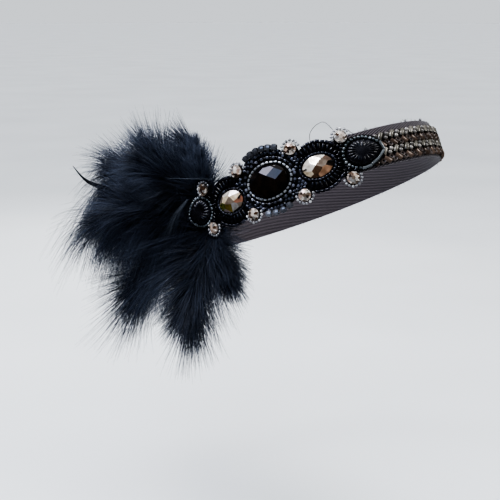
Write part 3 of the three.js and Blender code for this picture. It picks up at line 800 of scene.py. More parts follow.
# %% Seeds that fill the felt
FILL_PITCH, FILL_ROW_STEP, FILL_ROWS = 1.95, 0.87, (-18.0, 19.0)
FILL_LENGTH, FILL_RADIUS = 1.7, 0.92
FELT_RIM = 1.0
RING_COVER, BEZEL_COVER, RHINESTONE_COVER, PEAR_COVER = (16.2, 14.2), (10.9, 8.6), (4.0, 4.0), 1.4
RAY_OVAL, RAY_COVER, RAY_COVER_ANGLE = (11.7, 10.3), (13.2, 13.2), math.radians(130)
SLATE_REACH = (20.5, 19.5)


def inside_oval(points, x, y, half_length, half_width):
    """Which points are inside an oval."""
    return np.hypot((points[:, 0] - x) / half_length, (points[:, 1] - y) / half_width) < 1


def bare_felt():
    """Places on the felt that are not under a stone or a string."""
    rows = np.arange(*FILL_ROWS, FILL_PITCH * FILL_ROW_STEP)
    columns = np.arange(felt_back, felt_front, FILL_PITCH)
    lattice = [(x + FILL_PITCH / 2 * (number % 2), y) for number, y in enumerate(rows) for x in columns]
    points = np.array(lattice)
    kept = points[:, 1] < felt_edge(points[:, 0], 1) - FELT_RIM
    kept &= points[:, 1] > felt_edge(points[:, 0], -1) + FELT_RIM
    kept &= ~inside_oval(points, *CENTRE, *RING_COVER)
    for x, y, facing in CRYSTALS.values():
        angle = np.arctan2((points[:, 1] - y) / RAY_OVAL[1], (points[:, 0] - x) * facing / RAY_OVAL[0])
        rays = (np.abs(angle) < RAY_COVER_ANGLE) & inside_oval(points, x, y, *RAY_COVER)
        kept &= ~rays & ~inside_oval(points, x, y, *BEZEL_COVER)
    for x, y, facing in PEARS.values():
        before, behind = (PEAR_POINT, PEAR_ROUND)[::facing]
        half_length = np.where(points[:, 0] > x, before, behind) + PEAR_COVER
        kept &= ~inside_oval(points, x, y, half_length, PEAR_HALF_WIDTH + PEAR_COVER)
    for x, y, fan_at in RHINESTONES:
        kept &= ~inside_oval(points, x, y, *RHINESTONE_COVER)
    return points[kept]


places = bare_felt()
turns = chance.uniform(0, math.pi, len(places))
near_centre = inside_oval(places, *CENTRE, *SLATE_REACH)
fill_rows = [
    sewn_beads(seed, places[part], turns[part], FILL_LENGTH, FILL_RADIUS, (0, 0), chance)
    for part in (~near_centre, near_centre)
]
sewn_piece("filler_seeds", "black_glass", [], fill_rows, [jet_glass, slate_coat])

# %% [markdown]
# A rondelle is a flattened bead with ground facets. A torus with few sides and flat shading has just
# those facets. Six of them stand over the centre stone and four under it.

# %% Rondelles over and under the centre stone
RONDELLE_LINE, RONDELLE_LENGTH, RONDELLE_RADIUS = oval(19.2, 18.0), 3.2, 1.95
RONDELLE_ROWS = (("upper", 58, 122, 6), ("lower", -113, -62, 4))

rondelle = seed_shape(12, 6)
for level, start, end, count in RONDELLE_ROWS:
    line = RONDELLE_LINE(np.radians(np.linspace(start, end, 200)))
    span = np.linalg.norm(np.diff(line, axis=0), axis=1).sum()
    places, turns, _ = thread_places(RONDELLE_LINE, start, end, span / count)
    row = sewn_beads(rondelle, places, turns, RONDELLE_LENGTH, RONDELLE_RADIUS, CENTRE, chance)
    sewn_piece(f"rondelle_row_{level}", "gunmetal_bead", [f"rondelles_{level}"], [row], [charcoal_cut],
               smooth=False)

# %% [markdown]
# Each champagne crystal has a close row of short cut beads, then jet bugles that stand out like rays,
# then a string of plum-blue tubes on the felt's upper and lower edge. The rays are short at the crystal's
# end and long at its sides.

# %% Beads round the crystals
BEZEL_LINE, BEZEL_PITCH, BEZEL_LENGTH, BEZEL_RADIUS = oval(9.55, 7.1), 1.9, 1.7, 0.74
RAY_LINE, RAY_SPAN, RAY_PITCH, RAY_RADIUS = oval(*RAY_OVAL), 250, 2.3, 0.97
RAY_AT_END, RAY_AT_SIDE = 0.8, 2.15
EDGE_LINE, EDGE_TILT, EDGE_SPAN = oval(14.2, 13.6), 15, 74
EDGE_PITCH, EDGE_LENGTH, EDGE_RADIUS = 2.6, 2.4, 0.84

for side, (x, y, facing) in CRYSTALS.items():
    places, turns, _ = thread_places(BEZEL_LINE, 0, 360, BEZEL_PITCH)
    row = sewn_beads(bugle, places, turns, BEZEL_LENGTH, BEZEL_RADIUS, (x, y), chance)
    sewn_piece(f"bezel_beads_{side}", "gunmetal_bead", [f"bezel_ring_{side}"], [row], [smoke_coat])
    start = (0 if facing > 0 else 180) - RAY_SPAN / 2
    places, turns, angles = thread_places(RAY_LINE, start, start + RAY_SPAN, RAY_PITCH)
    lengths = 2 * (RAY_AT_END + (RAY_AT_SIDE - RAY_AT_END) * np.sin(angles) ** 2)
    row = sewn_beads(bugle, places, turns - math.pi / 2, lengths, RAY_RADIUS, (x, y), chance)
    sewn_piece(f"bugle_rays_{side}", "black_glass", [f"bugle_fan_{side}"], [row], [jet_glass])
    for level, sign in (("upper", 1), ("lower", -1)):
        start = sign * (90 - facing * EDGE_TILT) - EDGE_SPAN / 2
        places, turns, _ = thread_places(EDGE_LINE, start, start + EDGE_SPAN, EDGE_PITCH)
        row = sewn_beads(bugle, places, turns, EDGE_LENGTH, EDGE_RADIUS, (x, y), chance)
        name, node = f"edge_tubes_{level}_{side}", f"edge_string_{level}_{side}"
        sewn_piece(name, "gunmetal_bead", [node], [row], [plum_coat])

# %% [markdown]
# Each pear sits in a ring of round teal-silver beads. On the front pear the ring goes over to longer bars
# on its lower front side.

# %% Beads round the pears
PEAR_BEAD_PITCH, PEAR_BEAD_LENGTH, PEAR_BEAD_RADIUS = 2.05, 1.6, 0.88
PEAR_BAR_PITCH, PEAR_BAR_LENGTH, PEAR_BAR_RADIUS = 5.6, 5.4, 0.82
PEAR_BARS = {"front": (-100, 28), "back": (0, 0)}

for side, (x, y, facing) in PEARS.items():
    outline = pear(0, facing)
    bars_from, bars_to = PEAR_BARS[side]
    places, turns, _ = thread_places(outline, bars_to, 360 + bars_from, PEAR_BEAD_PITCH)
    rows = [sewn_beads(round_bead, places, turns, PEAR_BEAD_LENGTH, PEAR_BEAD_RADIUS, (x, y), chance)]
    if bars_from < bars_to:
        places, turns, _ = thread_places(outline, bars_from, bars_to, PEAR_BAR_PITCH)
        rows.append(sewn_beads(bugle, places, turns, PEAR_BAR_LENGTH, PEAR_BAR_RADIUS, (x, y), chance))
    sewn_piece(f"pear_beads_{side}", "silver_seed", [f"seed_ring_pear_{side}"], rows, [teal_coat, teal_bar])

# %% [markdown]
# A cut stone is made just as a cutter makes it: take a blank and grind flat facets on it. Bisect is our
# grinding wheel. It cuts the blank by a plane, throws the outer part away and fills the cut. Each facet
# is a plane that touches a low dome at one chosen point, so a list of points on the dome is the whole
# cutting plan.

# %% Grind facets
BLANK_SIDES = 48
FACET_ANGLE = math.radians(4)
GIRDLE_BELOW = 0.15
STONE_LIFT, PROBE_STEP = 4.4, 0.5


def ground_stone(name, half_length, half_width, height, dome, plan, base=0.0):
    """An oval blank with a facet ground at each place of the plan, given in shares of the half sizes."""
    blank = height + dome
    stone = start_from(bpy.ops.mesh.primitive_cylinder_add, name, vertices=BLANK_SIDES, radius=1, depth=blank,
                       location=(0, 0, base + blank / 2))
    stone.scale = (half_length, half_width, 1)
    bpy.ops.object.transform_apply(location=True, scale=True)
    bpy.ops.object.mode_set(mode="EDIT")
    for across, up in plan:
        drop = dome * (across ** 2 + up ** 2)
        bpy.ops.mesh.select_all(action="SELECT")
        bpy.ops.mesh.bisect(
            plane_co=(across * half_length, up * half_width, base + height - drop),
            plane_no=(2 * dome * across / half_length, 2 * dome * up / half_width, 1),
            use_fill=True, clear_outer=True)
    bpy.ops.object.mode_set(mode="OBJECT")
    return stone


def soften_facets(stone, width):
    """Takes the sharpness off every edge, which gives the fine bright lines between facets."""
    reshape(stone, "BEVEL", width=width, segments=1, limit_method="ANGLE", angle_limit=FACET_ANGLE)


def paint_facet_light(stone, half_length, half_width, plan, tints, girdle):
    """Stores on each facet the colour, with its painted highlight or painted shade, of the nearest place of
    the cutting plan.
    """
    layer = stone.data.attributes.new("facet_colour_and_light", "FLOAT_COLOR", "CORNER")
    for face in stone.data.polygons:
        here = np.array((face.center.x / half_length, face.center.y / half_width))
        nearest = int(np.argmin([np.hypot(*(here - place)) for place in plan]))
        tint = girdle if face.normal.z < GIRDLE_BELOW else tints[nearest]
        for corner in face.loop_indices:
            layer.data[corner].color = (*tint, 1)


def set_on_felt(piece, x, y):
    """Sets a stone on the felt as a stiff body, square to the ribbon there."""
    steps = np.array(((0, 0, 0), (1, 0, 0), (-1, 0, 0), (0, 1, 0), (0, -1, 0))) * PROBE_STEP
    here, front, back, top, low = on_motif(steps + (x, y, STONE_LIFT))
    across = (front - back) / np.linalg.norm(front - back)
    up = (top - low) / np.linalg.norm(top - low)
    axes = np.array((across, up, np.cross(across, up)))
    move_points(piece, lambda points: here + points @ axes * MM)


print("tools for cut stones are ready")

# %% [markdown]
# The centre stone has a checkerboard cut. Its facets touch the dome on a lattice that is turned against
# the oval, so they run slantwise across the stone, a little longer than they are wide. Its black glass is
# polished, with a faint smoky depth.

# %% Centre stone
CENTRE_SIZE, CENTRE_HEIGHT, CENTRE_DOME, CENTRE_BEVEL = (11.5, 8.7), 5.6, 3.6, 0.09
CHECKER_LONG, CHECKER_WIDE, CHECKER_TURN = 0.56, 0.54, math.radians(43)
CHECKER_AT, CHECKER_REACH = (0.50, 0.25), 1.3
CHECKER_STEPS = range(-5, 6)
CHECKER_EXTRA = (0.16, 1.02)


def checker_plan():
    """Places on a turned square lattice that fall on the stone, and one more by its upper edge."""
    plan = []
    for i in CHECKER_STEPS:
        for j in CHECKER_STEPS:
            u, v = i * CHECKER_LONG, j * CHECKER_WIDE
            across = CHECKER_AT[0] + u * math.cos(CHECKER_TURN) - v * math.sin(CHECKER_TURN)
            up = CHECKER_AT[1] + u * math.sin(CHECKER_TURN) + v * math.cos(CHECKER_TURN)
            if math.hypot(across, up) < CHECKER_REACH:
                plan.append((across, up))
    return plan + [CHECKER_EXTRA]


jet_stone = clouded_finish(
    "jet_stone", [(0.35, (0.002, 0.002, 0.003)), (0.75, (0.014, 0.008, 0.005))], grain_mm=5,
    gloss=(0.03, 0.09), roughness=0.05, ior=1.48, coat=0.1, coat_roughness=0.03)
centre_stone = ground_stone("centre_stone", *CENTRE_SIZE, CENTRE_HEIGHT, CENTRE_DOME, checker_plan())
soften_facets(centre_stone, CENTRE_BEVEL)
set_on_felt(centre_stone, *CENTRE)
centre_stone.data.materials.append(jet_stone)
dress(centre_stone, "black_glass", "stone_centre")

# %% [markdown]
# The champagne crystals are foil-backed. Each facet gets one tint: white gold, cream, taupe, copper or olive.
# These tints are the crystals' champagne colour with painted reflections and painted shade on it: the
# light tints stand for facets that mirror a light, the dark ones for facets in shade. The charts below are
# drawn, with the place and the tint of each facet. A hole at each end, for the thread, is drilled by a
# Boolean.

# %% Champagne crystals
# Facet tints: champagne colours, with painted highlights in the light ones and painted shade in the dark
# ones.
WHITE_GOLD, CREAM, SILVER = (0.95, 0.90, 0.82), (0.82, 0.70, 0.52), (0.42, 0.41, 0.40)
TAUPE, OLIVE, MAUVE = (0.27, 0.22, 0.18), (0.17, 0.13, 0.03), (0.32, 0.27, 0.28)
COPPER, BROWN, UMBER = (0.50, 0.30, 0.19), (0.13, 0.075, 0.045), (0.03, 0.021, 0.016)
MOSS, ROSE = (0.12, 0.13, 0.02), (0.45, 0.22, 0.15)
CRYSTAL_CHARTS = {
    "front": (
        (-0.56, -0.01, WHITE_GOLD), (-0.06, 0.54, WHITE_GOLD), (-0.75, 0.50, WHITE_GOLD),
        (0.38, 0.98, WHITE_GOLD), (-0.98, -0.32, CREAM), (-0.68, -0.50, CREAM), (-0.14, -0.39, BROWN),
        (0.36, 0.16, TAUPE), (0.24, -0.76, COPPER), (0.62, -0.52, COPPER), (0.90, -0.12, UMBER),
        (0.84, 0.45, BROWN), (-0.40, -0.92, BROWN),
    ),
    "back": (
        (-0.19, 0.84, WHITE_GOLD), (0.54, 0.67, WHITE_GOLD), (-0.74, 0.48, TAUPE), (-0.25, 0.36, CREAM),
        (0.08, 0.04, TAUPE), (0.56, 0.25, CREAM), (0.86, -0.20, ROSE), (-0.70, -0.21, MOSS),
        (-0.15, -0.49, OLIVE), (0.30, -0.66, SILVER), (-0.64, -0.81, MAUVE), (0.43, -1.05, UMBER),
        (0.78, -0.66, TAUPE),
    ),
}
CRYSTAL_SIZE, CRYSTAL_HEIGHT, CRYSTAL_DOME, CRYSTAL_BEVEL = (8.5, 6.0), 3.7, 3.0, 0.07
HOLE_AT, HOLE_RADIUS, DRILL_LENGTH = 6.6, 0.55, 20
FOIL_STOPS = [(0.3, (0.55, 0.5, 0.45)), (0.7, (1, 1, 1))]
FOIL_GRAIN, FACET_GRAIN = 3, 1.2


def facet_finish(name, roughness, metallic, coat):
    """A foiled stone's finish: each facet keeps its own colour with painted highlight or painted shade, and a
    cloud in the foil deepens it.
    """
    material, nodes, links, shader = new_finish(name, roughness, metallic, 1.6, coat)
    tint = stored(nodes, "facet_colour_and_light")
    depth = add_ramp(nodes, FOIL_STOPS)
    links.new(add_noise(nodes, links, FOIL_GRAIN).outputs["Fac"], depth.inputs["Fac"])
    colour = multiplied(nodes, links, tint.outputs["Color"], depth.outputs["Color"])
    links.new(colour, shader.inputs["Base Color"])
    grain = add_noise(nodes, links, FACET_GRAIN)
    vary_roughness(nodes, links, shader, grain, roughness * 0.6, roughness * 1.6)
    return material


def drilled(stone, x):
    """Drills a thread hole through a stone."""
    drill = start_from(bpy.ops.mesh.primitive_cylinder_add, "drill", vertices=12, radius=HOLE_RADIUS,
                       depth=DRILL_LENGTH, location=(x, 0, 0))
    reshape(stone, "BOOLEAN", operation="DIFFERENCE", object=drill)
    bpy.data.objects.remove(drill)


champagne = facet_finish("champagne_foil", 0.1, 0.3, 0.9)
for side, (x, y, facing) in CRYSTALS.items():
    plan = [(across, up) for across, up, tint in CRYSTAL_CHARTS[side]]
    tints = [tint for across, up, tint in CRYSTAL_CHARTS[side]]
    crystal = ground_stone(f"champagne_stone_{side}", *CRYSTAL_SIZE, CRYSTAL_HEIGHT, CRYSTAL_DOME, plan)
    soften_facets(crystal, CRYSTAL_BEVEL)
    drilled(crystal, HOLE_AT)
    drilled(crystal, -HOLE_AT)
    paint_facet_light(crystal, *CRYSTAL_SIZE, plan, tints, UMBER)
    set_on_felt(crystal, x, y)
    crystal.data.materials.append(champagne)
    dress(crystal, "champagne_crystal", f"crystal_{side}")

# %% [markdown]
# The pears are moulded cabochons with a smooth middle and raised flutes round it. The upper half of a
# sphere, with many segments, is drawn to the pear's outline, and a wave round it raises the flutes where
# the side is steep. Moulded glass is duller than a cut stone, so its flutes catch the sky.

# %% Fluted pears
PEAR_HEIGHT, PEAR_INSET = 4.5, 1.35
PEAR_FLUTES, FLUTE_STEPS, PEAR_RINGS = 20, 10, 40
FLUTE_HEIGHT, FLUTE_SWELL, FLUTE_ROUNDING = 0.6, 0.02, 0.7
FLUTE_FROM, FLUTE_RISE, FLUTE_FALL = 0.36, 0.3, 0.04


def fluted_pear(name, facing):
    """A pear cabochon from half a sphere."""
    stone = start_from(bpy.ops.mesh.primitive_uv_sphere_add, name, segments=PEAR_FLUTES * FLUTE_STEPS,
                       ring_count=PEAR_RINGS, radius=1)
    bpy.ops.object.mode_set(mode="EDIT")
    bpy.ops.mesh.select_all(action="SELECT")
    bpy.ops.mesh.bisect(plane_co=(0, 0, 0.001), plane_no=(0, 0, -1), use_fill=True, clear_outer=True)
    bpy.ops.object.mode_set(mode="OBJECT")

    def to_pear(points):
        angle = np.arctan2(points[:, 1], points[:, 0])
        reach = np.hypot(points[:, 0], points[:, 1])
        foot = pear(PEAR_INSET, facing)(angle)
        wave = np.abs(np.cos(angle * PEAR_FLUTES / 2)) ** FLUTE_ROUNDING
        steep = np.clip((reach - FLUTE_FROM) / FLUTE_RISE, 0, 1) * np.clip((1 - reach) / FLUTE_FALL, 0, 1)
        swell = 1 + FLUTE_SWELL * wave * steep
        height = points[:, 2] * (PEAR_HEIGHT - FLUTE_HEIGHT) + FLUTE_HEIGHT * wave * steep
        return np.column_stack((foot * (reach * swell)[:, None], height))

    move_points(stone, to_pear)
    bpy.ops.object.shade_smooth_by_angle(angle=math.radians(45))
    return stone


fluted_glass = clouded_finish(
    "fluted_glass", [(0.35, (0.004, 0.004, 0.006)), (0.75, (0.012, 0.012, 0.017))], grain_mm=4,
    gloss=(0.2, 0.32), roughness=0.26, ior=1.65, coat=0.1)
for side, (x, y, facing) in PEARS.items():
    stone = fluted_pear(f"pear_stone_{side}", facing)
    set_on_felt(stone, x, y)
    stone.data.materials.append(fluted_glass)
    dress(stone, "black_glass", f"pear_{side}")

# %% [markdown]
# Each rhinestone is a small round stone in a metal cup with four claws. One stone and one cup are
# modelled: the stone is ground from a round blank, and the cup is a cone whose top is inset and pushed
# down, with four small spheres for claws.

# %% Model a rhinestone and its cup
RHINESTONE_SIZE, RHINESTONE_HEIGHT, RHINESTONE_DOME = (3.4, 3.4), 2.0, 1.4
RHINESTONE_BASE, RHINESTONE_BEVEL = 1.4, 0.05
BRILLIANT_RINGS = ((0.62, 8, 0), (0.98, 8, 22.5))
CUP_SIDES, CUP_RADIUS, CUP_FOOT, CUP_HEIGHT, CUP_WALL, CUP_RECESS = 24, 3.6, 2.5, 2.0, 0.35, 0.5
CLAWS, CLAW_RADIUS, CLAW_AT, CLAW_LIFT, CLAW_SHAPE = 4, 0.75, 3.1, 2.4, (0.8, 0.8, 1.2)

BRILLIANT_PLAN = [(0.0, 0.0)]
for ring_radius, ring_count, ring_turn in BRILLIANT_RINGS:
    for k in range(ring_count):
        at = math.radians(ring_turn + 360 / ring_count * k)
        BRILLIANT_PLAN.append((ring_radius * math.cos(at), ring_radius * math.sin(at)))


def claw_cup():
    """A flared cup with a recess for the stone and four claws over its rim."""
    cup = start_from(bpy.ops.mesh.primitive_cone_add, "cup", vertices=CUP_SIDES, radius1=CUP_FOOT,
                     radius2=CUP_RADIUS, depth=CUP_HEIGHT, location=(0, 0, CUP_HEIGHT / 2))
    bpy.ops.object.transform_apply(location=True)
    select_parts(cup, "FACE", lambda face: face.normal.z > 0.9)
    bpy.ops.mesh.inset(thickness=CUP_WALL)
    bpy.ops.transform.translate(value=(0, 0, -CUP_RECESS))
    bpy.ops.object.mode_set(mode="OBJECT")
    parts = [cup]
    for k in range(CLAWS):
        at = math.radians(45 + 360 / CLAWS * k)
        claw = start_from(bpy.ops.mesh.primitive_uv_sphere_add, "claw", segments=8, ring_count=6,
                          radius=CLAW_RADIUS,
                          location=(CLAW_AT * math.cos(at), CLAW_AT * math.sin(at), CLAW_LIFT))
        claw.scale = CLAW_SHAPE
        bpy.ops.object.transform_apply(location=True, scale=True)
        parts.append(claw)
    for part in parts:
        part.select_set(True)
    bpy.context.view_layer.objects.active = cup
    bpy.ops.object.join()
    bpy.ops.object.shade_smooth_by_angle(angle=math.radians(50))
    return cup


rhinestone_glass = facet_finish("rhinestone_glass", 0.06, 0.45, 1.0)
cup_metal = clouded_finish(
    "cup_metal", [(0.3, (0.50, 0.45, 0.40)), (0.7, (0.82, 0.77, 0.71))], grain_mm=1.5, gloss=(0.15, 0.35),
    roughness=0.22, metallic=0.6)
cup_model = claw_cup()
cup_model.data.materials.append(cup_metal)
brilliant = ground_stone("brilliant", *RHINESTONE_SIZE, RHINESTONE_HEIGHT, RHINESTONE_DOME, BRILLIANT_PLAN,
                         RHINESTONE_BASE)
soften_facets(brilliant, RHINESTONE_BEVEL)
print("cup faces:", len(cup_model.data.polygons), "stone faces:", len(brilliant.data.polygons))

# %% [markdown]
# Every copy of the stone gets tints of its own by chance, painted highlights and painted shade on its
# facets, since each catches the light another way. A real cup is pinched round its stone, so the two are
# joined into one piece before they are set on the felt.

# %% Set the rhinestones
# Facet tints of the rhinestones: painted highlights and painted shade.
SPARKLES = [
    WHITE_GOLD, (0.96, 0.95, 0.93), (0.60, 0.46, 0.39), TAUPE, (0.90, 0.80, 0.72), BROWN, SILVER,
    (0.80, 0.62, 0.50), (0.08, 0.055, 0.045),
]


def own_copy(model, name):
    """A copy of a model with a mesh of its own."""
    piece = model.copy()
    piece.data = model.data.copy()
    piece.name = name
    bpy.context.collection.objects.link(piece)
    return piece


chance = np.random.default_rng(31)
for number, (x, y, fan_at) in enumerate(RHINESTONES, start=1):
    stone = own_copy(brilliant, f"set_stone_{number}")
    tints = [SPARKLES[k] for k in chance.integers(0, len(SPARKLES), len(BRILLIANT_PLAN))]
    paint_facet_light(stone, *RHINESTONE_SIZE, BRILLIANT_PLAN, tints, TAUPE)
    stone.data.materials.append(rhinestone_glass)
    cup = own_copy(cup_model, f"set_cup_{number}")
    bpy.ops.object.select_all(action="DESELECT")
    cup.select_set(True)
    stone.select_set(True)
    bpy.context.view_layer.objects.active = stone
    bpy.ops.object.join()
    set_on_felt(stone, x, y)
    dress(stone, "rhinestone", f"rhinestone_{number}")
bpy.data.objects.remove(brilliant)
bpy.data.objects.remove(cup_model)

# %% [markdown]
# Outside each rhinestone lies a short fan of round hematite beads. They are threaded along part of a
# circle, a little higher than the other strings, because they rest against the cup.

# %% Seed fans outside the rhinestones
FAN_LINE, FAN_SPAN, FAN_PITCH = oval(4.55, 4.55), 210, 1.95
FAN_LENGTH, FAN_RADIUS, FAN_LIFT = 1.55, 0.8, 0.6

for number, (x, y, fan_at) in enumerate(RHINESTONES, start=1):
    start = fan_at - FAN_SPAN / 2
    places, turns, _ = thread_places(FAN_LINE, start, start + FAN_SPAN, FAN_PITCH)
    row = sewn_beads(round_bead, places, turns, FAN_LENGTH, FAN_RADIUS, (x, y), chance, FAN_LIFT)
    sewn_piece(f"fan_seeds_{number}", "silver_seed", [f"seed_fan_{number}"], [row], [hematite])

# %% [markdown]
# The feathers are soft and dark, and each has a row of numbers below. Angle and lean, in degrees, say
# which way it points and how far it stands off the ribbon, and droop, in millimetres, how far its tip
# hangs. Its locks open from the shaft by two angles, at the root and at the tip, and reach out by two
# shares of its half width. Crowd gathers the locks towards one end, and until is the share of the shaft
# where they stop. Sag and wind bend them, fluff lifts them out of the vane, and front and rear stretch
# those of one side at its root, middle and tip. A shaft starts between felt and ribbon and then runs
# straight out, apart from its droop.

# %% Shafts of the feathers
PLUME_X = -52.0
QUILL_LIFT, QUILL_IN, QUILL_OUT = 1.4, 6.0, 18.0
USUAL = dict(until=0.88, crowd=0.8, sag=0.0, wind=0.0, front=(1, 1, 1), rear=(1, 1, 1))
FEATHERS = (
    dict(USUAL, node="feather_top", angle=103, length=44, half_width=14, lean=0, droop=0, locks=200,
         crowd=1.2, opening=(94, 60), reach=(1.9, 1.6), fluff=22, wind=0.5, front=(1.25, 0.8, 0.4)),
    dict(USUAL, node="feather_upper", angle=67, length=54, half_width=19, lean=27, droop=2, locks=190,
         opening=(84, 60), reach=(1.9, 1.5), sag=0.1, fluff=20),
    dict(USUAL, node="feather_upper_back", angle=36, length=94, half_width=25, lean=8, droop=6, locks=210,
         until=0.94, crowd=0.55, opening=(84, 32), reach=(1.7, 1.65), sag=0.8, fluff=18, wind=-0.1,
         rear=(1, 1, 1.2)),
    dict(USUAL, node="feather_back", angle=16, length=94, half_width=25, lean=22, droop=7, locks=200,
         opening=(84, 48), reach=(1.7, 1.6), sag=0.7, fluff=18, wind=-0.15, rear=(1, 0.8, 0.5)),
    dict(USUAL, node="feather_low_back", angle=-15, length=110, half_width=20, lean=17, droop=12, locks=170,
         until=0.68, crowd=0.6, opening=(70, 26), reach=(1.6, 2.5), sag=0.03, fluff=9, rear=(1.3, 1, 1)),
    dict(USUAL, node="feather_low", angle=-64, length=74, half_width=19, lean=22, droop=2, locks=210,
         until=0.82, opening=(84, 60), reach=(2.0, 1.25), sag=0.1, fluff=20, front=(1.5, 1.25, 1),
         rear=(1, 1.3, 1.3)),
    dict(USUAL, node="feather_tuft", angle=-95, length=46, half_width=14, lean=2, droop=0, locks=190,
         opening=(84, 46), reach=(2.0, 1.2), fluff=18),
)


def unit(vectors):
    """Vectors made one long."""
    return vectors / np.linalg.norm(vectors, axis=-1, keepdims=True)


def shaft(feather, reach):
    """Points of a shaft at reaches from the plume's root, and the ways along, across and out of its vane."""
    back, up = math.cos(math.radians(feather["angle"])), math.sin(math.radians(feather["angle"]))

    def under_felt(distance):
        distance = np.atleast_1d(distance)
        lift = np.full(len(distance), QUILL_LIFT)
        return on_motif(np.column_stack((PLUME_X - back * distance, up * distance, lift)))

    way_out = under_felt(QUILL_OUT)[0]
    face = on_motif(np.array([(PLUME_X, 0, 1), (PLUME_X, 0, 0)]))
    outward = unit(face[0] - face[1])
    lean = outward * math.tan(math.radians(feather["lean"]))
    away = unit(unit(way_out - under_felt(QUILL_OUT - 1)[0]) + lean)
    free = np.maximum(reach - QUILL_OUT, 0)
    share = free / (feather["length"] - QUILL_OUT)
    line = under_felt(np.minimum(reach, QUILL_OUT)) + away * free[:, None] * MM
    line += tipped((0, 0, -feather["droop"])) * (share ** 2)[:, None]
    along = unit(np.gradient(line, axis=0))
    across = unit(np.cross(along, outward))
    return line, along, across, np.cross(across, along)


print("feathers:", len(FEATHERS), "locks:", sum(feather["locks"] for feather in FEATHERS))

# %% [markdown]
# Real barbs rest against the ribbon and slip behind the felt. Two helpers see to that. The first finds
# how far each point of a strand is from the loop, moves it out of the loop, and holds it behind the felt
# wherever the felt covers it. The second draws a strand in when it would reach too far past the frame's
# own box.

# %% Keep strands clear
LOOP_CLEARANCE = 0.7
UNDER_FELT = 2.3
BESIDE_FELT, BESIDE_RHINESTONE = 2.4, 6.5
ROOM_SHARE, ROOM = 0.028, 0.009
NEAR_ZERO = 1e-9
QUARTER = math.pi / 2


def kept_outside(lines):
    """Moves strands out of the loop, and behind the felt wherever it covers them."""
    x, y, z = np.moveaxis(lines / MM, -1, 0)
    cos, sin = math.cos(LOOP_PITCH), math.sin(LOOP_PITCH)
    level, up = y * cos - z * sin, y * sin + z * cos
    share = np.hypot(x / LOOP_HALF_WIDTH, level / LOOP_HALF_DEPTH)
    slope_x, slope_y = x / LOOP_HALF_WIDTH ** 2, level / LOOP_HALF_DEPTH ** 2
    slope = np.hypot(slope_x, slope_y)
    out = (share - 1) * share / slope
    turn = np.arctan2(level / LOOP_HALF_DEPTH, x / LOOP_HALF_WIDTH)
    turn = np.mod(turn + QUARTER, 4 * QUARTER) - QUARTER
    motif_x = MOTIF_ALONG - np.interp(-turn, -loop_turn, loop_reach)
    covered = (up < felt_edge(motif_x, 1) + BESIDE_FELT) & (up > felt_edge(motif_x, -1) - BESIDE_FELT)
    covered &= (motif_x > felt_back) & (motif_x < felt_front)
    for stone_x, stone_y, fan_at in RHINESTONES:
        covered |= np.hypot(motif_x - stone_x, up - stone_y) < BESIDE_RHINESTONE
    moved = np.maximum(out, LOOP_CLEARANCE)
    moved = np.where(covered, np.minimum(moved, UNDER_FELT), moved) - out
    normal = np.stack((slope_x / slope, slope_y / slope, np.zeros_like(slope)), axis=-1)
    return lines + tipped(normal * moved[..., None])


def kept_inside(lines):
    """Draws in any strand that would reach too far past the frame's own box."""
    low, high = np.array(cad_box[0]), np.array(cad_box[1])
    room = ROOM_SHARE * (high - low) + ROOM
    root = lines[:, :1]
    reach = lines - root
    past_low = (low - room - root) / np.minimum(reach, -NEAR_ZERO)
    past_high = (high + room - root) / np.maximum(reach, NEAR_ZERO)
    share = np.where(reach < 0, past_low, past_high).min(axis=(1, 2), keepdims=True)
    return root + reach * np.minimum(share, 1)


print("room past the frame's box in mm:", np.round((ROOM_SHARE * np.ptp(cad_box, axis=0) + ROOM) / MM, 1))

# %% [markdown]
# A real feather has a shaft with hundreds of barbs, and barbs cling together in locks that end in fine
# points. We make the same: for each lock a guide line leaves the shaft, opens to the side, sweeps towards
# the tip and sags, and a handful of barbs follow it and close up at its end.

# %% Locks and barbs
SHAFT_SAMPLES = 200
BARBS_PER_LOCK, BARB_STEPS = 16, 6
BARBS_FROM = 0.04
OPENING_RANGE, LENGTH_RANGE, BARB_RANGE = (0.25, 1.1), (0.6, 1.22), (0.55, 1.08)
ROLL_MIDDLE, ROLL_LIMITS = 0.4, (-12, 60)
FLUFF_AT, FLUFF_SHARE = (0, 0.35), (0.25, 1)
LENGTHS_AT = (0, 0.4, 1)
SAG_BELOW, SAG_AT_ROOT, SAG_GAIN, SAG_POWER = 0.9, 0.6, 0.7, 2.6
SWEEP, CLOSING, CLOSING_POWER, LOOSENESS, LOCK_CURL = 0.12, 0.82, 1.5, 0.17, 0.12
ROOT_SPREAD, END_SPREAD = 4, 0.6
LEAST_TONE, LOCK_TONE, LOCK_TONE_SPREAD, BARB_TONE_SPREAD = 0.12, 0.9, (1.2, 2.2), 0.08
DOWN = np.array((0, 0, -1.0))


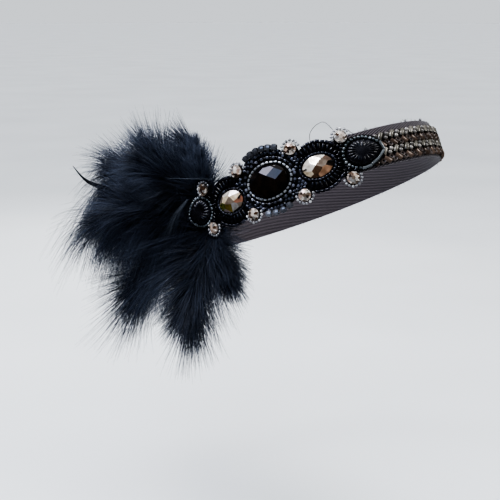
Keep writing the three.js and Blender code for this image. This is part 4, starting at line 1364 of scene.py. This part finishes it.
def barb_lines(feather, chance):
    """Every barb of a feather as a line of points, with a tone for each."""
    reach = np.linspace(QUILL_IN, feather["length"], SHAFT_SAMPLES)
    line, along, across, facing = shaft(feather, reach)
    locks = feather["locks"]
    share = np.sort(chance.uniform(0, 1, locks)) ** feather["crowd"]
    last = SHAFT_SAMPLES - 1
    at = (BARBS_FROM + (feather["until"] - BARBS_FROM) * share) * last

    def along_shaft(values, places):
        samples = np.arange(SHAFT_SAMPLES)
        return np.stack([np.interp(places, samples, values[:, axis]) for axis in range(3)], axis=-1)

    side = np.where(np.arange(locks) % 2 == 0, 1.0, -1.0)
    opening = np.interp(share, (0, 1), feather["opening"]) * chance.uniform(*OPENING_RANGE, locks)
    opening = np.radians(opening)
    roll = np.radians(np.clip(chance.normal(ROLL_MIDDLE, 1, locks) * feather["fluff"], *ROLL_LIMITS))
    roll = roll * np.interp(share, FLUFF_AT, FLUFF_SHARE)
    ahead, beside, out = along_shaft(along, at), along_shaft(across, at), along_shaft(facing, at)
    spread = beside * (side * np.cos(roll))[:, None] + out * np.sin(roll)[:, None]
    start = unit(ahead * np.cos(opening)[:, None] + spread * np.sin(opening)[:, None])
    start = unit(start - feather["wind"] * share[:, None] * beside)
    length = feather["half_width"] * np.interp(share, (0, 1), feather["reach"])
    length = length * chance.uniform(*LENGTH_RANGE, locks)
    front, rear = (np.interp(share, LENGTHS_AT, feather[edge]) for edge in ("front", "rear"))
    length = length * np.where(side > 0, front, rear)
    sag = feather["sag"] * np.clip(SAG_BELOW - start[:, 2], 0, 1) * (SAG_AT_ROOT + SAG_GAIN * share)
    curl = chance.normal(0, LOCK_CURL, locks)

    count = locks * BARBS_PER_LOCK
    lock = np.repeat(np.arange(locks), BARBS_PER_LOCK)
    root = along_shaft(line, np.clip(at[lock] + chance.normal(0, ROOT_SPREAD, count), 0, last))
    own_length = length[lock] * chance.uniform(*BARB_RANGE, count)
    t = np.linspace(0, 1, BARB_STEPS)[None, :, None]
    first = unit(start[lock] + LOOSENESS * chance.normal(0, 1, (count, 3)))[:, None]
    bend = SWEEP * (ahead[lock][:, None] - first) + out[lock][:, None] * curl[lock][:, None, None]
    drop = DOWN * sag[lock][:, None, None]
    path = first * t + bend * t ** 2 + drop * t ** SAG_POWER
    lines = root[:, None] + path * (own_length * MM)[:, None, None]
    middle = along_shaft(line, at)[lock][:, None] + path * (length[lock] * MM)[:, None, None]
    lines += (middle - lines) * CLOSING * t ** CLOSING_POWER
    lines += chance.normal(0, END_SPREAD, (count, 1, 3)) * MM * t
    lines = kept_outside(kept_inside(lines))
    tones = LEAST_TONE + chance.beta(*LOCK_TONE_SPREAD, locks)[lock] * LOCK_TONE
    return lines, tones + chance.normal(0, BARB_TONE_SPREAD, count)


print("barbs in a lock:", BARBS_PER_LOCK)

# %% [markdown]
# Each barb is a thin tube with three sides, which is enough for something finer than a hair. The tubes
# are closed at both ends and taper from root to tip. How far along the strand a point is stays with it,
# so that the finish can paint light towards the tip.

# %% Tubes along strands
ANY_WAY = (0.31, 0.57, 0.76)
TUBE_CORNERS = np.radians((0, 120, 240))


def strand_tubes(lines, root_mm, tip_mm):
    """Thin closed three-sided tubes along lines, with the share from root to tip for each point."""
    count, steps = lines.shape[:2]
    ahead = unit(np.gradient(lines, axis=1))
    side = unit(np.cross(ahead, ANY_WAY))
    rise = np.cross(side, ahead)
    share = np.linspace(0, 1, steps)
    radius = ((root_mm * (1 - share) + tip_mm * share) * MM)[None, :, None]
    corners = [lines + (side * math.cos(turn) + rise * math.sin(turn)) * radius for turn in TUBE_CORNERS]
    points = np.stack(corners, axis=2).reshape(-1, 3)
    index = np.arange(count * steps * 3).reshape(count, steps, 3)
    low, high = index[:, :-1], index[:, 1:]
    quads = np.stack((low, high, np.roll(high, -1, axis=2), np.roll(low, -1, axis=2)), axis=-1)
    ends = np.concatenate((index[:, 0], index[:, -1, ::-1]))
    return points, [quads.reshape(-1, 4), ends], np.tile(np.repeat(share, 3), count)


print("points in one barb:", BARB_STEPS * len(TUBE_CORNERS))

# %% [markdown]
# The barbs are nearly black with a navy cast. Their colour is the product of two ramps: one follows the
# strand from its root to its tip and paints light on the fine tips, where light shines through them, and
# the other gives each lock its own tone. A little blue sheen stands for the finest fluff.

# %% Finish of the barbs
# Painted light: the barbs turn lighter from root to tip.
TIP_LIGHT_STOPS = [(0, (0.003, 0.0035, 0.005)), (0.55, (0.015, 0.018, 0.027)), (1, (0.050, 0.058, 0.076))]
LOCK_STOPS = [(0, (0.2, 0.2, 0.2)), (1, (2.4, 2.5, 2.75))]
SHEEN_TINT = (0.45, 0.55, 0.75, 1)


def feather_finish():
    """Near-black barbs with a navy cast, with painted light that makes them lighter towards their tips."""
    material, nodes, links, shader = new_finish("blue_black_barbs", 0.4, sheen=0.12)
    shader.inputs["Sheen Tint"].default_value = SHEEN_TINT
    colours = []
    for name, stops in (("tip", TIP_LIGHT_STOPS), ("tone", LOCK_STOPS)):
        ramp = add_ramp(nodes, stops)
        links.new(stored(nodes, name).outputs["Fac"], ramp.inputs["Fac"])
        colours.append(ramp.outputs["Color"])
    links.new(multiplied(nodes, links, *colours), shader.inputs["Base Color"])
    return material


barb_finish = feather_finish()
print("finish of the barbs:", barb_finish.name)

# %% [markdown]
# Now each feather is grown: its barbs, and its quill as one thicker strand along the shaft. Every feather
# has a source of chance of its own, so a change to one leaves the others as they are.

# %% Feathers
BARB_RADII, QUILL_RADII = (0.20, 0.03), (0.7, 0.15)
QUILL_STEPS, QUILL_TONE = 24, 0.3

for number, feather in enumerate(FEATHERS):
    lines, tones = barb_lines(feather, np.random.default_rng(100 + number))
    barbs = strand_tubes(lines, *BARB_RADII)
    reach = np.linspace(QUILL_IN, feather["until"] * feather["length"], QUILL_STEPS)
    quill = strand_tubes(shaft(feather, reach)[0][None], *QUILL_RADII)
    points, groups, _ = stacked([barbs[:2], quill[:2]])
    tip = np.concatenate((barbs[2], quill[2]))
    barb_tone = np.repeat(np.clip(tones, 0, 1), BARB_STEPS * len(TUBE_CORNERS))
    tone = np.concatenate((barb_tone, np.full(len(quill[0]), QUILL_TONE)))
    name = feather["node"].replace("feather", "plume")
    plume = joined_piece(name, points, groups, [barb_finish], tip=tip, tone=tone)
    dress(plume, "feather", feather["node"])

# %% [markdown]
# Small loose things make handwork look real: thread ends, fray, a bare quill and a few stray barbs. All
# of them are strands, so the tubes of the barbs serve again. We only need a smooth line through a few
# points for each.

# %% Lines for single strands
def smooth_line(corners, steps=8):
    """A smooth line through a few points."""
    corners = np.asarray(corners, float)
    ends = 2 * corners[:1] - corners[1:2], 2 * corners[-1:] - corners[-2:-1]
    padded = np.concatenate((ends[0], corners, ends[1]))
    t = np.linspace(0, 1, steps, endpoint=False)[:, None]
    parts = []
    for before, start, end, after in zip(padded, padded[1:], padded[2:], padded[3:]):
        slope = end - before
        bend = 2 * before - 5 * start + 4 * end - after
        twist = 3 * (start - end) + after - before
        parts.append(start + 0.5 * t * (slope + t * (bend + t * twist)))
    return np.concatenate(parts + [corners[-1:]])


def strand_piece(name, slot, lines, radii, material):
    """One piece from single strands, each given as a line of points."""
    tubes = [strand_tubes(line[None], *radii) for line in lines]
    points, groups, _ = stacked([tube[:2] for tube in tubes])
    dress(joined_piece(name, points, groups, [material]), slot)


print("points of a smooth line through three places:", len(smooth_line(((0, 0, 0), (1, 1, 0), (2, 0, 0)))))

# %% [markdown]
# The crystals are sewn on with black thread that comes up through a hole and goes over the stone's edge
# into the felt. One thread end was never cut and stands up in an arc over the front crystal.

# %% Threads
STITCHES = (("front", -1, -0.6), ("front", 1, 0.5), ("back", 1, 2.4))
STITCH_PATH = ((6.5, 0.0, 1.8), (6.8, 0.1, 2.75), (7.7, 0.5, 2.25), (8.6, 0.8, 1.4), (9.2, 1.0, 0.2))
STITCH_RADII, LOOSE_RADII = (0.48, 0.44), (0.17, 0.15)
LOOSE_ARC = ((26.9, 11.9, 4.8), (27.3, 15.6, 5.2), (29.2, 18.6, 5.2), (33.0, 20.8, 5.2), (37.1, 20.4, 5.0),
             (40.6, 13.6, 4.6))
LOOSE_END = ((44.0, 13.2, 4.8), (46.6, 13.0, 5.2), (49.4, 9.0, 5.0))

black_thread = cloth_finish("black_thread", (0.002, 0.002, 0.002), (0.010, 0.009, 0.009))
lines = []
for side, end, rise in STITCHES:
    x, y, facing = CRYSTALS[side]
    path = [(x + end * along, y + rise * share, STONE_LIFT + lift) for along, share, lift in STITCH_PATH]
    lines.append(on_motif(smooth_line(path)))
strand_piece("crystal_stitches", "felt", lines, STITCH_RADII, black_thread)
lines = [on_motif(smooth_line(path)) for path in (LOOSE_ARC, LOOSE_END)]
strand_piece("loose_thread", "felt", lines, LOOSE_RADII, black_thread)

# %% [markdown]
# The ribbon's cut edges are a little frayed. Single fibres stand out all round it, more of them on the
# upper edge, and a few tufts sit where the photograph shows them.

# %% Fray of the ribbon
FRAY_FIBRES, FRAY_LENGTH, FRAY_RANGE, FRAY_STEPS = 420, 1.5, (0.4, 1.2), 4
FRAY_TUFTS, TUFT_SPREAD, TUFT_LENGTH = ((1, 16), (-16, 20), (30, 10), (62, 12)), 0.7, 1.1
FRAY_UPPER_SHARE, FRAY_SWAY, FRAY_OUT = 0.65, 0.5, 0.5
FRAY_DEPTH, FRAY_ROOT, FRAY_RADII = (0.15, 0.85), 0.3, (0.10, 0.04)

chance = np.random.default_rng(53)
fray_along = np.concatenate((
    chance.uniform(0, LOOP_LENGTH, FRAY_FIBRES),
    *(chance.normal(at, TUFT_SPREAD, count) for at, count in FRAY_TUFTS),
))
in_tuft = np.arange(len(fray_along)) >= FRAY_FIBRES
upper = in_tuft | (chance.uniform(0, 1, len(fray_along)) < FRAY_UPPER_SHARE)
share = np.linspace(0, 1, FRAY_STEPS)
lines = []
for along, edge, tufted in zip(fray_along, np.where(upper, 1, -1), in_tuft):
    length = FRAY_LENGTH * chance.uniform(*FRAY_RANGE) * (TUFT_LENGTH if tufted else 1)
    sway = chance.normal(0, FRAY_SWAY, 2) * length
    depth = -RIBBON_THICKNESS * chance.uniform(*FRAY_DEPTH)
    foot = edge * (RIBBON_WIDTH / 2 - FRAY_ROOT)
    lines.append(on_ribbon(
        along + sway[0] * share ** 1.5, foot + edge * length * share,
        depth + np.abs(sway[1]) * FRAY_OUT * share ** 2))
fray_cloth = cloth_finish("ribbon_fibre", (0.016, 0.014, 0.016), (0.055, 0.048, 0.055))
strand_piece("ribbon_fray", "ribbon", lines, FRAY_RADII, fray_cloth)

# %% [markdown]
# Three stray things lie on the feathers: a bare quill that stands up behind the motif, a pale wisp that
# hangs by the motif's end, and a lock that curls out past the others. The last two are bundles, spread by
# chance round one given line.

# %% Bare quill, pale wisp and curled lock
BARE_QUILL = ((-32.1, 13.5, 5.0), (-42.5, 18.6, 13.0), (-52.0, 23.6, 21.0))
WISP = np.array(((-56.0, 10.0, 8.0), (-63.5, 3.5, 14.0), (-74.0, -8.0, 18.0)))
WISP_SPREAD = np.array(((0.2,), (0.9,), (2.2,)))
CURL = np.array(((-79.2, 93.8, 1.8), (-83.0, 97.4, 1.8), (-86.6, 101.2, 2.8), (-89.9, 105.3, 5.0),
                 (-92.4, 108.8, 8.2), (-95.3, 113.8, 14.8)))
CURL_SPREAD = np.array(((1.1,), (0.85,), (0.65,), (0.5,), (0.3,), (0.08,)))
WISP_STRANDS, CURL_STRANDS = 16, 60
BARE_QUILL_RADII, WISP_RADII, CURL_RADII = (0.26, 0.10), (0.09, 0.03), (0.16, 0.04)

chance = np.random.default_rng(61)
pale_barb = cloth_finish("pale_barbs", (0.045, 0.055, 0.07), (0.12, 0.14, 0.17))
strand_piece("bare_quill", "feather", [on_motif(smooth_line(BARE_QUILL))], BARE_QUILL_RADII, pale_barb)
lines = [on_motif(smooth_line(WISP + WISP_SPREAD * chance.normal(0, 1, 3), 4)) for k in range(WISP_STRANDS)]
strand_piece("pale_wisp", "feather", lines, WISP_RADII, pale_barb)
lines = [smooth_line(CURL + CURL_SPREAD * chance.normal(0, 1, 3), 3) * MM for k in range(CURL_STRANDS)]
curl_barb = cloth_finish("curled_barbs", (0.006, 0.0075, 0.011), (0.022, 0.026, 0.036))
strand_piece("curled_lock", "feather", lines, CURL_RADII, curl_barb)

# %% [markdown]
# The stage is plain. A wide sheet of pale paper lies well under the headband. It is left out of mirror
# images, so that the black stones stay black.

# %% Floor
FLOOR_Z, FLOOR_SIZE = -0.24, 80

floor = start_from(bpy.ops.mesh.primitive_plane_add, "studio_floor", size=FLOOR_SIZE,
                   location=(0, 0, FLOOR_Z))
floor.data.materials.append(clouded_finish(
    "studio_paper", [(0.3, (0.70, 0.72, 0.73)), (0.7, (0.75, 0.77, 0.78))], grain_mm=300, roughness=0.9))
floor.visible_glossy = False
print("floor height in mm:", round(FLOOR_Z / MM))

# %% [markdown]
# The sky is dark near the horizon and bright overhead, like a room with a lit ceiling. It is dimmed in
# mirror images, where it would grey the stones. The camera itself sees an even backdrop in the colour of
# the paper, so no horizon shows.

# %% Sky
SKY_STOPS = [(0.0, (0.07, 0.072, 0.078)), (0.55, (0.10, 0.105, 0.115)), (0.82, (0.40, 0.42, 0.47)),
             (0.95, (1.9, 1.97, 2.1))]
SKY_IN_GLOSS = 0.35
BACKDROP = (0.655, 0.685, 0.722, 1)

world = bpy.data.worlds.new("studio_sky")
bpy.context.scene.world = world
world.use_nodes = True
nodes, links = world.node_tree.nodes, world.node_tree.links
sky = nodes["Background"]
direction = nodes.new("ShaderNodeTexCoord")
height = nodes.new("ShaderNodeSeparateXYZ")
links.new(direction.outputs["Generated"], height.inputs["Vector"])
ramp = add_ramp(nodes, SKY_STOPS)
links.new(height.outputs["Z"], ramp.inputs["Fac"])
links.new(ramp.outputs["Color"], sky.inputs["Color"])
seen = nodes.new("ShaderNodeLightPath")
dimmed = nodes.new("ShaderNodeMath")
dimmed.operation = "MULTIPLY_ADD"
dimmed.inputs[1].default_value = SKY_IN_GLOSS - 1
dimmed.inputs[2].default_value = 1
links.new(seen.outputs["Is Glossy Ray"], dimmed.inputs[0])
links.new(dimmed.outputs["Value"], sky.inputs["Strength"])
backdrop = nodes.new("ShaderNodeBackground")
backdrop.inputs["Color"].default_value = BACKDROP
backdrop.inputs["Strength"].default_value = 1.0
either = nodes.new("ShaderNodeMixShader")
links.new(seen.outputs["Is Camera Ray"], either.inputs["Fac"])
links.new(sky.outputs["Background"], either.inputs[1])
links.new(backdrop.outputs["Background"], either.inputs[2])
links.new(either.outputs["Shader"], nodes["World Output"].inputs["Surface"])
bpy.context.scene.view_settings.look = "AgX - High Contrast"
print("share of the sky in mirror images:", SKY_IN_GLOSS)

# %% [markdown]
# Facets show what they mirror. Three small soft windows, one lilac, one blue and one plain, stand where
# the stones' facets pick them up. A front light opens the shadows, a back light lifts the feathers' edges
# off the backdrop, and a soft sun gives the day.

# %% Lights
MOTIF_AT = (-0.07, -0.04, 0.02)
PLAIN = (1, 1, 1)
SOFT_LIGHTS = (
    ("lilac_window", (-0.43, 0.30, 0.59), MOTIF_AT, 0.24, 1.6, (0.80, 0.81, 1.0)),
    ("blue_window", (-0.63, -0.25, 0.56), MOTIF_AT, 0.32, 1.1, (0.54, 0.68, 1.0)),
    ("glint_window", (-0.43, 0.04, 0.73), MOTIF_AT, 0.2, 2.4, PLAIN),
    ("front_light", (0.55, -0.75, 0.55), (0, 0, 0), 0.4, 3, PLAIN),
    ("back_light", (0.35, 0.95, 0.5), (-0.05, 0.05, 0), 0.5, 4, PLAIN),
)
DAY_TURN, DAY_STRENGTH, DAY_SOFTNESS = (math.radians(28), math.radians(-22), 0), 1.6, math.radians(50)

for name, place, target, size, watts, colour in SOFT_LIGHTS:
    light = start_from(bpy.ops.object.light_add, name, type="AREA", location=place)
    light.data.size = size
    light.data.energy = watts
    light.data.color = colour
    aim = np.array(target) - np.array(place)
    flat = math.hypot(aim[0], aim[1])
    light.rotation_euler = (math.atan2(flat, -aim[2]), 0, math.atan2(-aim[0], aim[1]))
day = start_from(bpy.ops.object.light_add, "day_light", type="SUN", rotation=DAY_TURN)
day.data.energy = DAY_STRENGTH
day.data.angle = DAY_SOFTNESS
day.visible_glossy = False
print("lights:", len(SOFT_LIGHTS) + 1)
